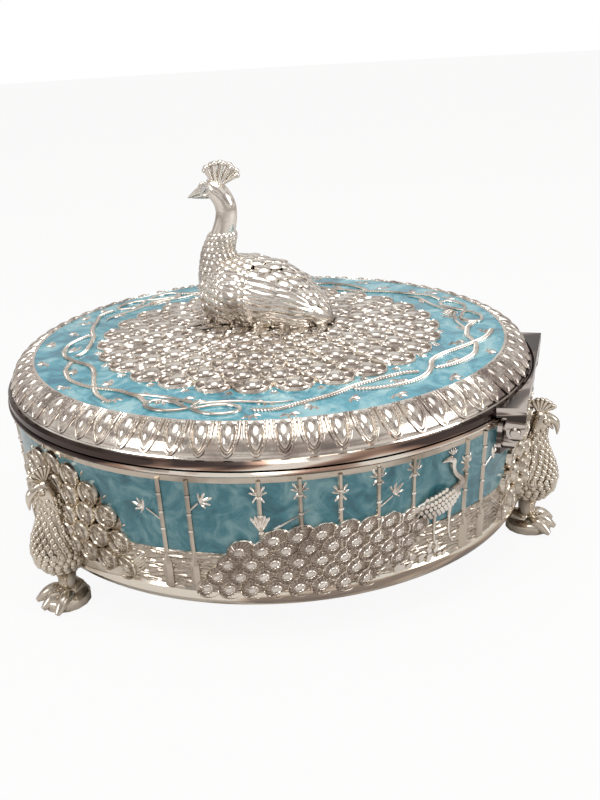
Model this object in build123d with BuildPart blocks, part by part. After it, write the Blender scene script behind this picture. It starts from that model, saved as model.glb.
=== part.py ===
from build123d import *
import math
import os

os.makedirs("parts", exist_ok=True)

# Round lidded box on three peacock feet, in millimetres.
# The origin is on the axis of the box at the surface that it stands on.
# +Y is the hinge side, +Z is up, and the bird on the lid looks towards -Y.

# Overall sizes
lid_radius = 110.0
seam_height = 66.5
base_height = 13.8
drum_taper = 4.0
closing_gap = 0.3

# Body sizes
drum_inset = 1.6
wall_thickness = 2.0
rim_height = 1.8
rim_proud = 0.4
rim_chamfer = 0.6
lip_clearance = 1.5
lip_thickness = 1.6
lip_height = 3.6
base_ring_height = 6.4
base_ring_proud = 1.4
base_ring_width = 7.0
ledge_height = 2.0
floor_thickness = 1.6
floor_clearance = 0.1
enamel_depth = 0.7
enamel_field_low = 34.5
field_margin = 2.8

# Wall relief: thin stems over the enamel, and thick capped posts from its foot to the base ring
post_radius = 1.9
post_cap_height = 4.0
post_cap_narrowing = 0.8
post_angles = [-33.0, -27.5, 27.5, 33.0]
stem_radius = 0.9
stem_angles = [-14.5, -7.25, 0.0, 7.25, 14.5]
stem_overrun = 1.0
sector_names = {"right": 30.0, "left": 150.0, "front": 270.0}

# Foot sizes
foot_names = {"back": 90.0, "left": 210.0, "right": 330.0}
bird_stand_out = 6.6
breast_height = 24.5
breast_radius = 9.0
head_drop = 9.0
head_radius = 3.7
crest_drop = 4.0
crest_size = 8.0
crest_thickness = 2.6
fan_thickness = 2.2
fan_lobe_radius = 5.4
fan_lobes = 11
fan_top_margin = 3.0
fan_low = 19.0
toe_length = 17.0
toe_width = 6.4
toe_height = 7.0
toe_spread = 27.0
foot_screw_spacing = 20.0

# Hinge sizes
pin_drop = 5.5
pin_radius = 1.2
pin_clearance = 0.12
rivet_radius = 2.1
rivet_height = 1.1
bracket_half_width = 46.0
bracket_back = 0.6
bracket_rise = 4.0
ear_width = 6.4
ear_radius = 3.2
ear_clearance = 0.35
side_clearance = 0.4
lug_width = 6.6
lug_radius = 3.3
lug_drop = 9.0
lug_pad_thickness = 1.6
lug_pad_margin = 2.0
lug_pad_clearance = 0.2
lug_pad_corner = 1.5
lug_screw_drop = 5.5
relief_clearance = 1.0

# Lid sizes
lid_thickness = 1.8
band_height = 3.4
band_thickness = 2.5
shoulder_inset = 1.7
slope_width = 10.8
slope_belly = 5.6
enamel_edge_height = 13.4
edge_line_width = 1.0
lid_inner_rise = 10.5
lid_enamel_depth = 0.9
enamel_step = 0.2
cover_inset = 2.2
cover_margin = 1.0
cover_thickness = 0.8
cover_depth = 3.4

# Feather disc: rows of overlapping feathers, from the outer row inwards
disc_radius = 72.5
disc_rows = 5
row_step = 11.0
row_rise = 1.05
row_thickness = 1.7
outer_feathers = 27
lobe_overlap = 1.08

# Bird on the lid
bird_length = 58.0
head_y = -23.0
head_rise = 55.9
beak_reach = 9.0
beak_fall = 3.1
bird_crest_rise = 68.2
bird_crest_thickness = 2.6
stone_radius = 1.2
stone_seat = 3.2
stone_height = 1.6
finial_screw_reach = 9.0
finial_screw_places = [(0, -10), (0, 12)]

# Tray sizes
tray_clearance = 1.0
tray_wall = 2.0
tray_floor = 2.0
tray_height = 42.0
tray_draft = 3.0
divider_thickness = 2.2
divider_clearance = 0.3
divider_drop = 3.0
divider_hub = 6.0

# Fasteners
screw_radius = 1.5
screw_head_radius = 3.0
screw_head_height = 1.6
screw_hole_clearance = 0.08
head_seat_gap = 0.08
small_screw_radius = 1.0
small_head_radius = 1.6
small_head_height = 0.7
bracket_screw_angle = 20.0

# Heights and radii that follow from the sizes above
rim_top = seam_height - closing_gap
wall_top = rim_top - rim_height
lip_top = rim_top + lip_height
wall_top_radius = lid_radius - drum_inset
wall_base_radius = wall_top_radius - drum_taper
rim_radius = lid_radius + rim_proud
band_inner = lid_radius - band_thickness
band_top = seam_height + band_height
skirt_inner = band_inner - lid_thickness
lip_radius = skirt_inner - lip_clearance
ring_outer = wall_base_radius + base_ring_proud
ring_inner = wall_base_radius - base_ring_width
ring_top = base_height + base_ring_height
ledge_z = base_height + ledge_height
floor_top = ledge_z + floor_thickness
enamel_field_high = wall_top - field_margin
wall_slope = (wall_top_radius - wall_base_radius) / (wall_top - base_height)
slope_angle = math.atan(wall_slope)

# The ears hang just outside the body rim, and the pins lie on the ears' centres below the seam
ear_inner = bracket_half_width - ear_width
pin_y = math.sqrt(rim_radius**2 - ear_inner**2) + ear_clearance + ear_radius
pin_z = seam_height - pin_drop
bracket_y = pin_y + ear_radius + bracket_back
relief_radius = pin_drop + relief_clearance
lug_x = ear_inner - side_clearance - lug_width / 2
lug_screw_angle = math.degrees(math.asin(lug_x / wall_top_radius))
lug_screw_height = pin_z - lug_screw_drop

# A foot's crest stays below the path of the lid's back edge
foot_radius = wall_base_radius + bird_stand_out
crest_height = pin_z - crest_drop
head_height = crest_height - head_drop
fan_centre_height = breast_height
fan_reach = wall_top - fan_top_margin - fan_lobe_radius - fan_centre_height
foot_screw_heights = (breast_height, breast_height + foot_screw_spacing)

# Lid levels
edge_z = seam_height + enamel_edge_height
inner_z = seam_height + lid_inner_rise
enamel_edge_radius = lid_radius - slope_width
shoulder_radius = lid_radius - shoulder_inset
bed_radius = enamel_edge_radius - edge_line_width
bed_z = edge_z - lid_enamel_depth
enamel_top = edge_z - enamel_step
cover_radius = bed_radius - cover_inset
outer_lobe = lobe_overlap * math.pi * disc_radius / (outer_feathers + math.pi)
enamel_inner = disc_radius - 2 * outer_lobe
disc_top = enamel_top + row_thickness + row_rise * (disc_rows - 1)


def wall_radius(height):
    """Outer radius of the plain drum at a height."""
    return wall_base_radius + wall_slope * (height - base_height)


def radial_plane(angle, radius, height, tilt=0.0):
    """Plane at a point of the drum, its normal pointing outwards and down by the tilt."""
    turn = math.radians(angle)
    out = Vector(math.cos(turn), math.sin(turn), 0)
    side = Vector(-math.sin(turn), math.cos(turn), 0)
    normal = out * math.cos(tilt) - Vector(0, 0, 1) * math.sin(tilt)
    return Plane(origin=out * radius + Vector(0, 0, height), x_dir=side, z_dir=normal)


def drum_tool(low, high, inner_offset, outer_offset, start=0.0, arc=360.0):
    """Solid shell that follows the drum between two heights and two offsets from its face."""
    with BuildPart() as tool:
        with BuildSketch(Plane.XZ.rotated((0, 0, start))):
            with BuildLine():
                Polyline(
                    (wall_radius(low) + inner_offset, low),
                    (wall_radius(low) + outer_offset, low),
                    (wall_radius(high) + outer_offset, high),
                    (wall_radius(high) + inner_offset, high),
                    close=True,
                )
            make_face()
        revolve(axis=Axis.Z, revolution_arc=arc)
    return tool.part


def drum_rib(angle, radius, low, high, cap_height=0.0):
    """Rib that lies half sunk on the drum along its slope, with a pointed cap if it has one."""
    length = (high - low) / math.cos(slope_angle)
    turn = math.radians(angle)
    along = Vector(
        math.sin(slope_angle) * math.cos(turn),
        math.sin(slope_angle) * math.sin(turn),
        math.cos(slope_angle),
    )
    start = Vector(math.cos(turn), math.sin(turn), 0) * wall_radius(low) + Vector(0, 0, low)
    with BuildPart() as rib:
        with BuildSketch(Plane(origin=start, z_dir=along)):
            RegularPolygon(radius=radius, side_count=6)
        extrude(amount=length)
        if cap_height > 0:
            with BuildSketch(Plane(origin=start + along * length, z_dir=along)):
                RegularPolygon(radius=radius, side_count=6)
            cap_taper = math.degrees(math.atan(radius * post_cap_narrowing / cap_height))
            extrude(amount=cap_height, taper=cap_taper)
    return rib.part


def screw_tool(angle, height, x_offset, reach, inset, radius, head_radius, head_height):
    """Screw put in from inside the drum, its head on the drum's inner face."""
    plane = radial_plane(angle, wall_radius(height), height, slope_angle)
    inner = plane.offset(-wall_thickness - inset)
    with BuildPart() as tool:
        with BuildSketch(inner):
            with Locations((x_offset, 0)):
                Circle(radius)
        extrude(amount=reach)
        if head_height > 0:
            with BuildSketch(inner.offset(-head_seat_gap)):
                with Locations((x_offset, 0)):
                    Circle(head_radius)
            extrude(amount=-head_height)
            with BuildSketch(inner.offset(-head_seat_gap)):
                with Locations((x_offset, 0)):
                    Circle(radius)
            extrude(amount=head_seat_gap)
    return tool.part


stem_low = enamel_field_low - stem_overrun
stem_high = enamel_field_high + stem_overrun
drum_ribs = []
for sector_angle in sector_names.values():
    for offset_angle in post_angles:
        post_top = stem_low - post_cap_height
        drum_ribs.append(
            drum_rib(sector_angle + offset_angle, post_radius, ring_top, post_top, post_cap_height)
        )
    for offset_angle in post_angles + stem_angles:
        drum_ribs.append(drum_rib(sector_angle + offset_angle, stem_radius, stem_low, stem_high))


def fan_outline_tool(angle, clearance=0.0):
    """Prism of the scalloped tail fan's outline, pointing out from the axis."""
    with BuildPart() as tool:
        with BuildSketch(radial_plane(angle, 0, 0)):
            with Locations((0, fan_centre_height)):
                Circle(fan_reach + clearance)
                with PolarLocations(
                    fan_reach, fan_lobes, start_angle=-6, angular_range=192, endpoint=True
                ):
                    Circle(fan_lobe_radius + clearance)
            with Locations((0, fan_low - 50)):
                Rectangle(200, 100, mode=Mode.SUBTRACT)
        extrude(amount=lid_radius + 20)
    return tool.part


def lug_pad_tool(side, clearance=0.0):
    """Prism of a hinge lug's pad outline on the drum."""
    with BuildPart() as tool:
        with BuildSketch(Plane.XZ):
            with Locations((side * lug_x, pin_z - lug_drop / 2)):
                RectangleRounded(
                    lug_width + 2 * lug_pad_margin + clearance,
                    lug_drop + 2 * lug_pad_margin + clearance,
                    lug_pad_corner,
                )
        extrude(amount=-(lid_radius + 20))
    return tool.part


# Drum: a tapered casting with a shallow field for the enamel, its posts and stems standing up
with BuildPart() as body_wall:
    with BuildSketch(Plane.XZ):
        with BuildLine():
            Polyline(
                (wall_radius(ledge_z) - wall_thickness, ledge_z),
                (wall_radius(ledge_z), ledge_z),
                (wall_radius(enamel_field_low), enamel_field_low),
                (wall_radius(enamel_field_low) - enamel_depth, enamel_field_low),
                (wall_radius(enamel_field_high) - enamel_depth, enamel_field_high),
                (wall_radius(enamel_field_high), enamel_field_high),
                (wall_top_radius, wall_top),
                (wall_top_radius - wall_thickness, wall_top),
                close=True,
            )
        make_face()
    revolve(axis=Axis.Z)
    for rib in drum_ribs:
        add(rib)
    add(drum_tool(base_height, seam_height, -20, -wall_thickness), mode=Mode.SUBTRACT)
    with BuildSketch(Plane.XY.offset(wall_top)):
        Circle(lid_radius + 10)
    extrude(amount=10, mode=Mode.SUBTRACT)
    for foot_angle in foot_names.values():
        for screw_height in foot_screw_heights:
            add(
                screw_tool(foot_angle, screw_height, 0, 12, 2, screw_radius + screw_hole_clearance, 0, 0),
                mode=Mode.SUBTRACT,
            )
    for side in (-1, 1):
        add(
            screw_tool(
                90 - side * lug_screw_angle, lug_screw_height, 0, 12, 2,
                screw_radius + screw_hole_clearance, 0, 0,
            ),
            mode=Mode.SUBTRACT,
        )
body_wall.part.label = "body_wall"
export_step(body_wall.part, "parts/body_wall.step")

# Base ring: rounded ring that the drum stands in, with a ledge for the floor plate
with BuildPart() as base_ring:
    with BuildSketch(Plane.XZ):
        with BuildLine():
            Polyline(
                (ring_inner, base_height),
                (ring_outer - 1.6, base_height),
                (ring_outer, base_height + 2.4),
                (ring_outer, ring_top - 1),
                (wall_radius(ring_top), ring_top),
                (wall_radius(ledge_z), ledge_z),
                (ring_inner, ledge_z),
                close=True,
            )
        make_face()
    revolve(axis=Axis.Z)
base_ring.part.label = "base_ring"
export_step(base_ring.part, "parts/base_ring.step")

# Floor plate: pressed disc on the ledge of the base ring, inside the drum
floor_radius = wall_base_radius - wall_thickness - floor_clearance
with BuildPart() as floor_plate:
    with BuildSketch(Plane.XY.offset(ledge_z)):
        Circle(floor_radius)
    extrude(amount=floor_thickness)
floor_plate.part.label = "floor_plate"
export_step(floor_plate.part, "parts/floor_plate.step")

# Body rim: polished ring on the drum, with the lip that the lid closes over
with BuildPart() as body_rim:
    with BuildSketch(Plane.XZ):
        with BuildLine():
            Polyline(
                (lip_radius - lip_thickness, wall_top),
                (rim_radius - rim_chamfer, wall_top),
                (rim_radius, wall_top + rim_chamfer),
                (rim_radius, rim_top - rim_chamfer),
                (rim_radius - rim_chamfer, rim_top),
                (lip_radius, rim_top),
                (lip_radius, lip_top),
                (lip_radius - lip_thickness, lip_top),
                close=True,
            )
        make_face()
    revolve(axis=Axis.Z)
body_rim.part.label = "body_rim"
export_step(body_rim.part, "parts/body_rim.step")

# Enamel: three fields between the tail fans, poured round the posts and stems
for sector_name, sector_angle in sector_names.items():
    with BuildPart() as wall_enamel:
        add(
            drum_tool(
                enamel_field_low, enamel_field_high, -enamel_depth, 0, sector_angle - 60, 120
            )
        )
        for offset_angle in post_angles + stem_angles:
            add(
                drum_rib(sector_angle + offset_angle, stem_radius, stem_low, stem_high),
                mode=Mode.SUBTRACT,
            )
        for foot_angle in foot_names.values():
            if abs((foot_angle - sector_angle + 180) % 360 - 180) < 90:
                add(fan_outline_tool(foot_angle), mode=Mode.SUBTRACT)
        for side in (-1, 1):
            add(lug_pad_tool(side, lug_pad_clearance), mode=Mode.SUBTRACT)
    wall_enamel.part.label = "wall_enamel_" + sector_name
    export_step(wall_enamel.part, "parts/wall_enamel_" + sector_name + ".step")

# Feet: a standing peacock with its tail fan spread on the drum, cast in one piece
def foot_bird(angle):
    """Leg, breast, neck and head of a foot's bird, with its beak, crest and toes."""
    turn = math.radians(angle)
    out = Vector(math.cos(turn), math.sin(turn), 0)
    frame = Plane(origin=(0, 0, 0), x_dir=out, z_dir=(0, 0, 1))
    upright = Plane(origin=(0, 0, 0), x_dir=out, z_dir=out.cross(Vector(0, 0, 1)))
    body_axis = Axis(out * foot_radius, (0, 0, 1))
    leg_radius = breast_radius * 0.5
    neck_low = breast_height * 1.25
    head_centre = foot_radius + head_radius * 0.8
    crest_low = crest_height - crest_size
    with BuildPart() as bird:
        with BuildSketch(upright):
            with BuildLine():
                Line((foot_radius, toe_height * 0.5), (foot_radius + leg_radius + 1, toe_height * 0.5))
                Spline(
                    (foot_radius + leg_radius + 1, toe_height * 0.5),
                    (foot_radius + leg_radius, breast_height * 0.5),
                    (foot_radius + breast_radius, breast_height),
                    (foot_radius + breast_radius * 0.55, breast_height * 1.5),
                )
                Line(
                    (foot_radius + breast_radius * 0.55, breast_height * 1.5),
                    (foot_radius, breast_height * 1.62),
                )
                Line((foot_radius, breast_height * 1.62), (foot_radius, toe_height * 0.5))
            make_face()
        revolve(axis=body_axis)
        neck_start = out * foot_radius + Vector(0, 0, neck_low)
        neck_end = out * head_centre + Vector(0, 0, head_height)
        with BuildSketch(Plane(origin=neck_start, z_dir=neck_end - neck_start)):
            Circle(breast_radius * 0.68)
        with BuildSketch(Plane(origin=neck_end, z_dir=neck_end - neck_start)):
            Circle(head_radius * 0.8)
        loft()
        with Locations(neck_end):
            Sphere(head_radius)
        with BuildSketch(upright):
            with BuildLine():
                Polyline(
                    (head_centre, head_height + 1.6),
                    (head_centre + head_radius + 1.4, head_height + 0.6),
                    (head_centre + head_radius + 2.6, head_height - 5.0),
                    (head_centre + head_radius, head_height - 2.4),
                    (head_centre, head_height - 2.6),
                    close=True,
                )
            make_face()
        extrude(amount=1.3, both=True)
        with BuildSketch(upright):
            with BuildLine():
                Line((head_centre - 1.5, crest_low), (foot_radius - 1.6, crest_height - 1.6))
                ThreePointArc(
                    (foot_radius - 1.6, crest_height - 1.6),
                    (foot_radius + 3.2, crest_height),
                    (foot_radius + 7.4, crest_height - 2.6),
                )
                Line((foot_radius + 7.4, crest_height - 2.6), (head_centre + 1.5, crest_low))
                Line((head_centre + 1.5, crest_low), (head_centre - 1.5, crest_low))
            make_face()
        extrude(amount=crest_thickness / 2, both=True)
        for spread in (-toe_spread, 0, toe_spread):
            with BuildSketch(frame):
                with Locations(Location((foot_radius - 9, 0, 0), spread)):
                    with Locations((toe_length / 2, 0)):
                        SlotOverall(toe_length, toe_width)
            extrude(amount=toe_height, taper=9)
        with BuildSketch(frame):
            with Locations((foot_radius - 6.5, 0)):
                RectangleRounded(9, 12, 2.5)
        extrude(amount=toe_height, taper=6)
    return bird.part


for foot_name, foot_angle in foot_names.items():
    with BuildPart() as foot:
        add(
            drum_tool(
                fan_low - 2,
                fan_centre_height + fan_reach + fan_lobe_radius + 2,
                -enamel_depth,
                fan_thickness,
                foot_angle - 40,
                80,
            )
        )
        add(fan_outline_tool(foot_angle), mode=Mode.INTERSECT)
        add(foot_bird(foot_angle))
        add(drum_tool(ledge_z, wall_top, -40, -enamel_depth), mode=Mode.SUBTRACT)
        if foot_name == "back":
            for side in (-1, 1):
                add(lug_pad_tool(side, lug_pad_clearance), mode=Mode.SUBTRACT)
        add(body_wall.part, mode=Mode.SUBTRACT)
        add(base_ring.part, mode=Mode.SUBTRACT)
        for screw_height in foot_screw_heights:
            add(
                screw_tool(foot_angle, screw_height, 0, 7, 0, screw_radius + screw_hole_clearance, 0, 0),
                mode=Mode.SUBTRACT,
            )
    foot.part.label = "foot_" + foot_name
    export_step(foot.part, "parts/foot_" + foot_name + ".step")

# Foot screws: two in each foot, put in from inside the drum
with BuildPart() as foot_screws:
    for foot_angle in foot_names.values():
        for screw_height in foot_screw_heights:
            add(
                screw_tool(
                    foot_angle, screw_height, 0, 6.5, 0, screw_radius, screw_head_radius, screw_head_height
                )
            )
foot_screws.part.label = "foot_screws"
export_step(foot_screws.part, "parts/foot_screws.step")

# Hinge lugs: an arm from the drum to the pin on each side, just inside the ears
lug_names = {"left": -1, "right": 1}
for lug_name, side in lug_names.items():
    with BuildPart() as lug:
        add(drum_tool(pin_z - lug_drop - 8, wall_top, -enamel_depth, lug_pad_thickness, 40, 100))
        add(lug_pad_tool(side), mode=Mode.INTERSECT)
        with BuildSketch(Plane.YZ.offset(side * lug_x)):
            with Locations((pin_y, pin_z)):
                Circle(lug_radius)
            with BuildLine():
                Polyline(
                    (pin_y - 9, pin_z + lug_radius - 0.4),
                    (pin_y, pin_z + lug_radius - 0.4),
                    (pin_y + lug_radius * 0.95, pin_z - 1),
                    (pin_y - 1, pin_z - lug_drop),
                    (pin_y - 9, pin_z - lug_drop),
                    close=True,
                )
            make_face()
        extrude(amount=lug_width / 2, both=True)
        add(drum_tool(ledge_z, seam_height, -40, -enamel_depth), mode=Mode.SUBTRACT)
        add(body_wall.part, mode=Mode.SUBTRACT)
        with BuildSketch(Plane.YZ.offset(side * lug_x)):
            with Locations((pin_y, pin_z)):
                Circle(pin_radius)
        extrude(amount=lug_width, both=True, mode=Mode.SUBTRACT)
        add(
            screw_tool(
                90 - side * lug_screw_angle, lug_screw_height, 0, 6, 0,
                screw_radius + screw_hole_clearance, 0, 0,
            ),
            mode=Mode.SUBTRACT,
        )
    lug.part.label = "hinge_lug_" + lug_name
    export_step(lug.part, "parts/hinge_lug_" + lug_name + ".step")

# Lug screws: one in each lug, put in from inside the drum
with BuildPart() as lug_screws:
    for side in (-1, 1):
        add(
            screw_tool(
                90 - side * lug_screw_angle, lug_screw_height, 0, 5.6, 0,
                screw_radius, screw_head_radius, screw_head_height,
            )
        )
lug_screws.part.label = "lug_screws"
export_step(lug_screws.part, "parts/lug_screws.step")

# Hinge pins: one through each ear into its lug, with a domed rivet head outside
with BuildPart() as hinge_pins:
    for side in (-1, 1):
        with BuildSketch(Plane.YZ.offset(side * (lug_x - lug_width / 2))):
            with Locations((pin_y, pin_z)):
                Circle(pin_radius)
        extrude(amount=side * (bracket_half_width - lug_x + lug_width / 2 + side_clearance / 2))
        with BuildSketch(Plane.YZ.offset(side * (bracket_half_width + side_clearance / 2))):
            with Locations((pin_y, pin_z)):
                Circle(rivet_radius)
        extrude(amount=side * rivet_height, taper=25)
hinge_pins.part.label = "hinge_pins"
export_step(hinge_pins.part, "parts/hinge_pins.step")

# Tray: moulded bowl that stands on the floor plate
tray_base_z = floor_top
tray_top_z = tray_base_z + tray_height
tray_radius = lip_radius - lip_thickness - tray_clearance
with BuildPart() as liner_tray:
    with BuildSketch(Plane.XZ):
        with BuildLine():
            Polyline(
                (0, tray_base_z),
                (tray_radius - tray_draft, tray_base_z),
                (tray_radius, tray_top_z),
                (tray_radius - tray_wall, tray_top_z),
                (tray_radius - tray_draft - tray_wall, tray_base_z + tray_floor),
                (0, tray_base_z + tray_floor),
                close=True,
            )
        make_face()
    revolve(axis=Axis.Z)
liner_tray.part.label = "liner_tray"
export_step(liner_tray.part, "parts/liner_tray.step")

# Tray divider: loose cross that makes four compartments
with BuildPart() as tray_divider:
    with BuildSketch(Plane.XY.offset(tray_base_z + tray_floor)):
        Rectangle(2 * tray_radius, divider_thickness)
        Rectangle(divider_thickness, 2 * tray_radius)
        Circle(divider_hub)
    extrude(amount=tray_height - tray_floor - divider_drop)
    with BuildSketch(Plane.XZ):
        with BuildLine():
            Polyline(
                (tray_radius - tray_draft - tray_wall - divider_clearance, tray_base_z + tray_floor),
                (tray_radius - tray_wall - divider_clearance, tray_top_z),
                (tray_radius + 20, tray_top_z),
                (tray_radius + 20, tray_base_z + tray_floor),
                close=True,
            )
        make_face()
    revolve(axis=Axis.Z, mode=Mode.SUBTRACT)
tray_divider.part.label = "tray_divider"
export_step(tray_divider.part, "parts/tray_divider.step")


def pin_relief():
    """Round clearance about the pins, between the two ears and for their lugs."""
    with BuildPart() as tool:
        with BuildSketch(Plane.YZ):
            with Locations((pin_y, pin_z)):
                Circle(relief_radius)
        extrude(amount=ear_inner, both=True)
    return tool.part


def bracket_screw_tool(side, radius, head_radius):
    """Small screw from inside the lid's skirt, through the band, into the bracket."""
    plane = radial_plane(90 - side * bracket_screw_angle, skirt_inner, seam_height + band_height / 2)
    with BuildPart() as tool:
        with BuildSketch(plane):
            Circle(radius)
        extrude(amount=lid_thickness + band_thickness + 3.5)
        if head_radius > 0:
            with BuildSketch(plane.offset(-head_seat_gap)):
                Circle(head_radius)
            extrude(amount=-small_head_height)
            with BuildSketch(plane.offset(-head_seat_gap)):
                Circle(radius)
            extrude(amount=head_seat_gap)
    return tool.part


# Lid shell: casting with a flat bed for the enamel, the ovolo slope for the eggs and a skirt inside the band
with BuildPart() as lid_shell:
    with BuildSketch(Plane.XZ):
        with BuildLine():
            Polyline(
                (0, inner_z),
                (0, bed_z),
                (bed_radius, bed_z),
                (bed_radius, edge_z),
                (enamel_edge_radius, edge_z),
                (enamel_edge_radius + slope_belly, edge_z - slope_belly * 0.7),
                (shoulder_radius, band_top),
                (band_inner, band_top),
                (band_inner, seam_height),
                (skirt_inner, seam_height),
                (skirt_inner, band_top + 1),
                (cover_radius + cover_margin, inner_z),
                close=True,
            )
        make_face()
    revolve(axis=Axis.Z)
    add(pin_relief(), mode=Mode.SUBTRACT)
    for side in (-1, 1):
        add(bracket_screw_tool(side, small_screw_radius + screw_hole_clearance, 0), mode=Mode.SUBTRACT)
    with BuildSketch(Plane.XY.offset(inner_z - 1)):
        with Locations(*finial_screw_places):
            Circle(screw_radius + screw_hole_clearance)
    extrude(amount=12, mode=Mode.SUBTRACT)
lid_shell.part.label = "lid_shell"
export_step(lid_shell.part, "parts/lid_shell.step")

# Lid band: polished ring round the skirt, held under the shoulder of the shell
with BuildPart() as lid_band:
    with BuildSketch(Plane.XZ):
        with BuildLine():
            Polyline(
                (band_inner, seam_height),
                (lid_radius - 0.5, seam_height),
                (lid_radius, seam_height + 0.5),
                (lid_radius, band_top - 0.8),
                (lid_radius - 0.8, band_top),
                (band_inner, band_top),
                close=True,
            )
        make_face()
    revolve(axis=Axis.Z)
    add(pin_relief(), mode=Mode.SUBTRACT)
    for side in (-1, 1):
        add(bracket_screw_tool(side, small_screw_radius + screw_hole_clearance, 0), mode=Mode.SUBTRACT)
lid_band.part.label = "lid_band"
export_step(lid_band.part, "parts/lid_band.step")

# Lid enamel: ring of enamel on the bed, from under the feather disc to the edge line
with BuildPart() as lid_enamel:
    with BuildSketch(Plane.XY.offset(bed_z)):
        Circle(bed_radius)
        Circle(enamel_inner, mode=Mode.SUBTRACT)
    extrude(amount=enamel_top - bed_z)
lid_enamel.part.label = "lid_enamel"
export_step(lid_enamel.part, "parts/lid_enamel.step")

# Feather disc: rows of round-ended feathers, each row lying on the one outside it
with BuildPart() as feather_disc:
    with BuildSketch(Plane.XY.offset(bed_z)):
        Circle(enamel_inner)
    extrude(amount=enamel_top - bed_z)
    for row in range(disc_rows):
        row_radius = disc_radius - row_step * row
        feathers = round(outer_feathers * (row_radius / disc_radius) ** 0.85)
        lobe = lobe_overlap * math.pi * row_radius / (feathers + math.pi)
        row_base = enamel_top if row == 0 else enamel_top + row_thickness + row_rise * (row - 1)
        row_depth = row_thickness if row == 0 else row_rise
        with BuildSketch(Plane.XY.offset(row_base)):
            Circle(row_radius - lobe)
            with PolarLocations(row_radius - lobe, feathers, start_angle=180 / feathers * (row % 2)):
                Circle(lobe)
        extrude(amount=row_depth)
    with BuildSketch(Plane.XY.offset(bed_z - 1)):
        with Locations(*finial_screw_places):
            Circle(screw_radius + screw_hole_clearance)
    extrude(amount=20, mode=Mode.SUBTRACT)
feather_disc.part.label = "feather_disc"
export_step(feather_disc.part, "parts/feather_disc.step")

# Bird on the lid: body sections are place along its length, height of centre above the disc,
# half width and half height
body_sections = [
    (-0.47, 13.9, 4.5, 6.5),
    (-0.42, 13.2, 10.0, 12.2),
    (-0.29, 12.9, 15.0, 14.6),
    (-0.10, 12.7, 17.2, 14.7),
    (0.10, 11.0, 16.8, 14.4),
    (0.26, 8.4, 14.0, 12.2),
    (0.38, 5.2, 10.4, 8.8),
    (0.515, 1.2, 3.6, 2.4),
]
# Neck sections are height above the disc, place along Y, half depth, half width
neck_sections = [
    (14.4, -17.0, 10.4, 11.0),
    (21.9, -19.6, 8.2, 8.8),
    (30.4, -20.4, 5.9, 6.4),
    (37.4, -17.6, 5.3, 5.5),
    (44.4, -15.2, 4.5, 4.6),
    (50.4, -15.4, 4.2, 4.2),
    (54.4, -18.4, 6.0, 4.5),
    (57.8, -20.4, 5.4, 4.2),
    (60.4, -21.2, 2.8, 2.4),
]
# Wing sections are place along the length, distance from the middle, height above the disc,
# half width and half height
wing_sections = [
    (-0.36, 9.0, 15.4, 3.0, 3.5),
    (-0.22, 12.8, 14.8, 5.0, 8.6),
    (0.0, 14.0, 13.0, 5.4, 10.0),
    (0.22, 12.4, 10.0, 4.8, 8.0),
    (0.50, 4.6, 3.0, 2.0, 2.0),
]
head_z = disc_top + head_rise
crest_z = disc_top + bird_crest_rise
with BuildPart() as peacock_finial:
    for place, height, half_width, half_height in body_sections:
        with BuildSketch(Plane.XZ.offset(-place * bird_length)):
            with Locations((0, disc_top + height)):
                Ellipse(half_width, half_height)
    loft(ruled=True)
    for side in (-1, 1):
        for place, distance, height, half_width, half_height in wing_sections:
            with BuildSketch(Plane.XZ.offset(-place * bird_length)):
                with Locations((side * distance, disc_top + height)):
                    Ellipse(half_width, half_height)
        loft(ruled=True)
    for height, place, half_depth, half_width in neck_sections:
        with BuildSketch(Plane.XY.offset(disc_top + height)):
            with Locations((0, place)):
                Ellipse(half_width, half_depth)
    loft(ruled=True)
    beak_slope = Vector(0, -beak_reach, -beak_fall)
    with BuildSketch(Plane(origin=(0, head_y, head_z), x_dir=(1, 0, 0), z_dir=beak_slope)):
        Circle(3.0)
    beak_tip = Vector(0, head_y, head_z) + beak_slope
    with BuildSketch(Plane(origin=beak_tip, x_dir=(1, 0, 0), z_dir=beak_slope)):
        Circle(0.5)
    loft()
    with BuildSketch(Plane.YZ):
        with BuildLine():
            Line((head_y + 5, head_z + 2), (head_y - 0.4, crest_z - 3.2))
            ThreePointArc(
                (head_y - 0.4, crest_z - 3.2),
                (head_y + 6.4, crest_z),
                (head_y + 13.4, crest_z - 4.6),
            )
            Line((head_y + 13.4, crest_z - 4.6), (head_y + 7, head_z + 2))
            Line((head_y + 7, head_z + 2), (head_y + 5, head_z + 2))
        make_face()
    extrude(amount=bird_crest_thickness / 2, both=True)
    with BuildSketch(Plane.XY.offset(disc_top)):
        Rectangle(4 * bird_length, 4 * bird_length)
    extrude(amount=-bird_length, mode=Mode.SUBTRACT)
    with BuildSketch(Plane.XY.offset(disc_top - 1)):
        with Locations(*finial_screw_places):
            Circle(screw_radius + screw_hole_clearance)
    extrude(amount=finial_screw_reach + 1, mode=Mode.SUBTRACT)
    with BuildSketch(Plane.YZ):
        with Locations((head_y, head_z + 1.2)):
            Circle(stone_radius)
    extrude(amount=3 * stone_seat, both=True, mode=Mode.SUBTRACT)
    with BuildSketch(Plane.YZ):
        with Locations((head_y, head_z + 1.2)):
            Circle(stone_radius + 0.5)
    extrude(amount=stone_seat, both=True)
peacock_finial.part.label = "peacock_finial"
export_step(peacock_finial.part, "parts/peacock_finial.step")

# Eye stones: a faceted stone set in each side of the head
with BuildPart() as eye_stones:
    for side in (-1, 1):
        with BuildSketch(Plane.YZ.offset(side * stone_seat)):
            with Locations((head_y, head_z + 1.2)):
                Circle(stone_radius)
        extrude(amount=side * stone_height, taper=20)
eye_stones.part.label = "eye_stones"
export_step(eye_stones.part, "parts/eye_stones.step")

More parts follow.
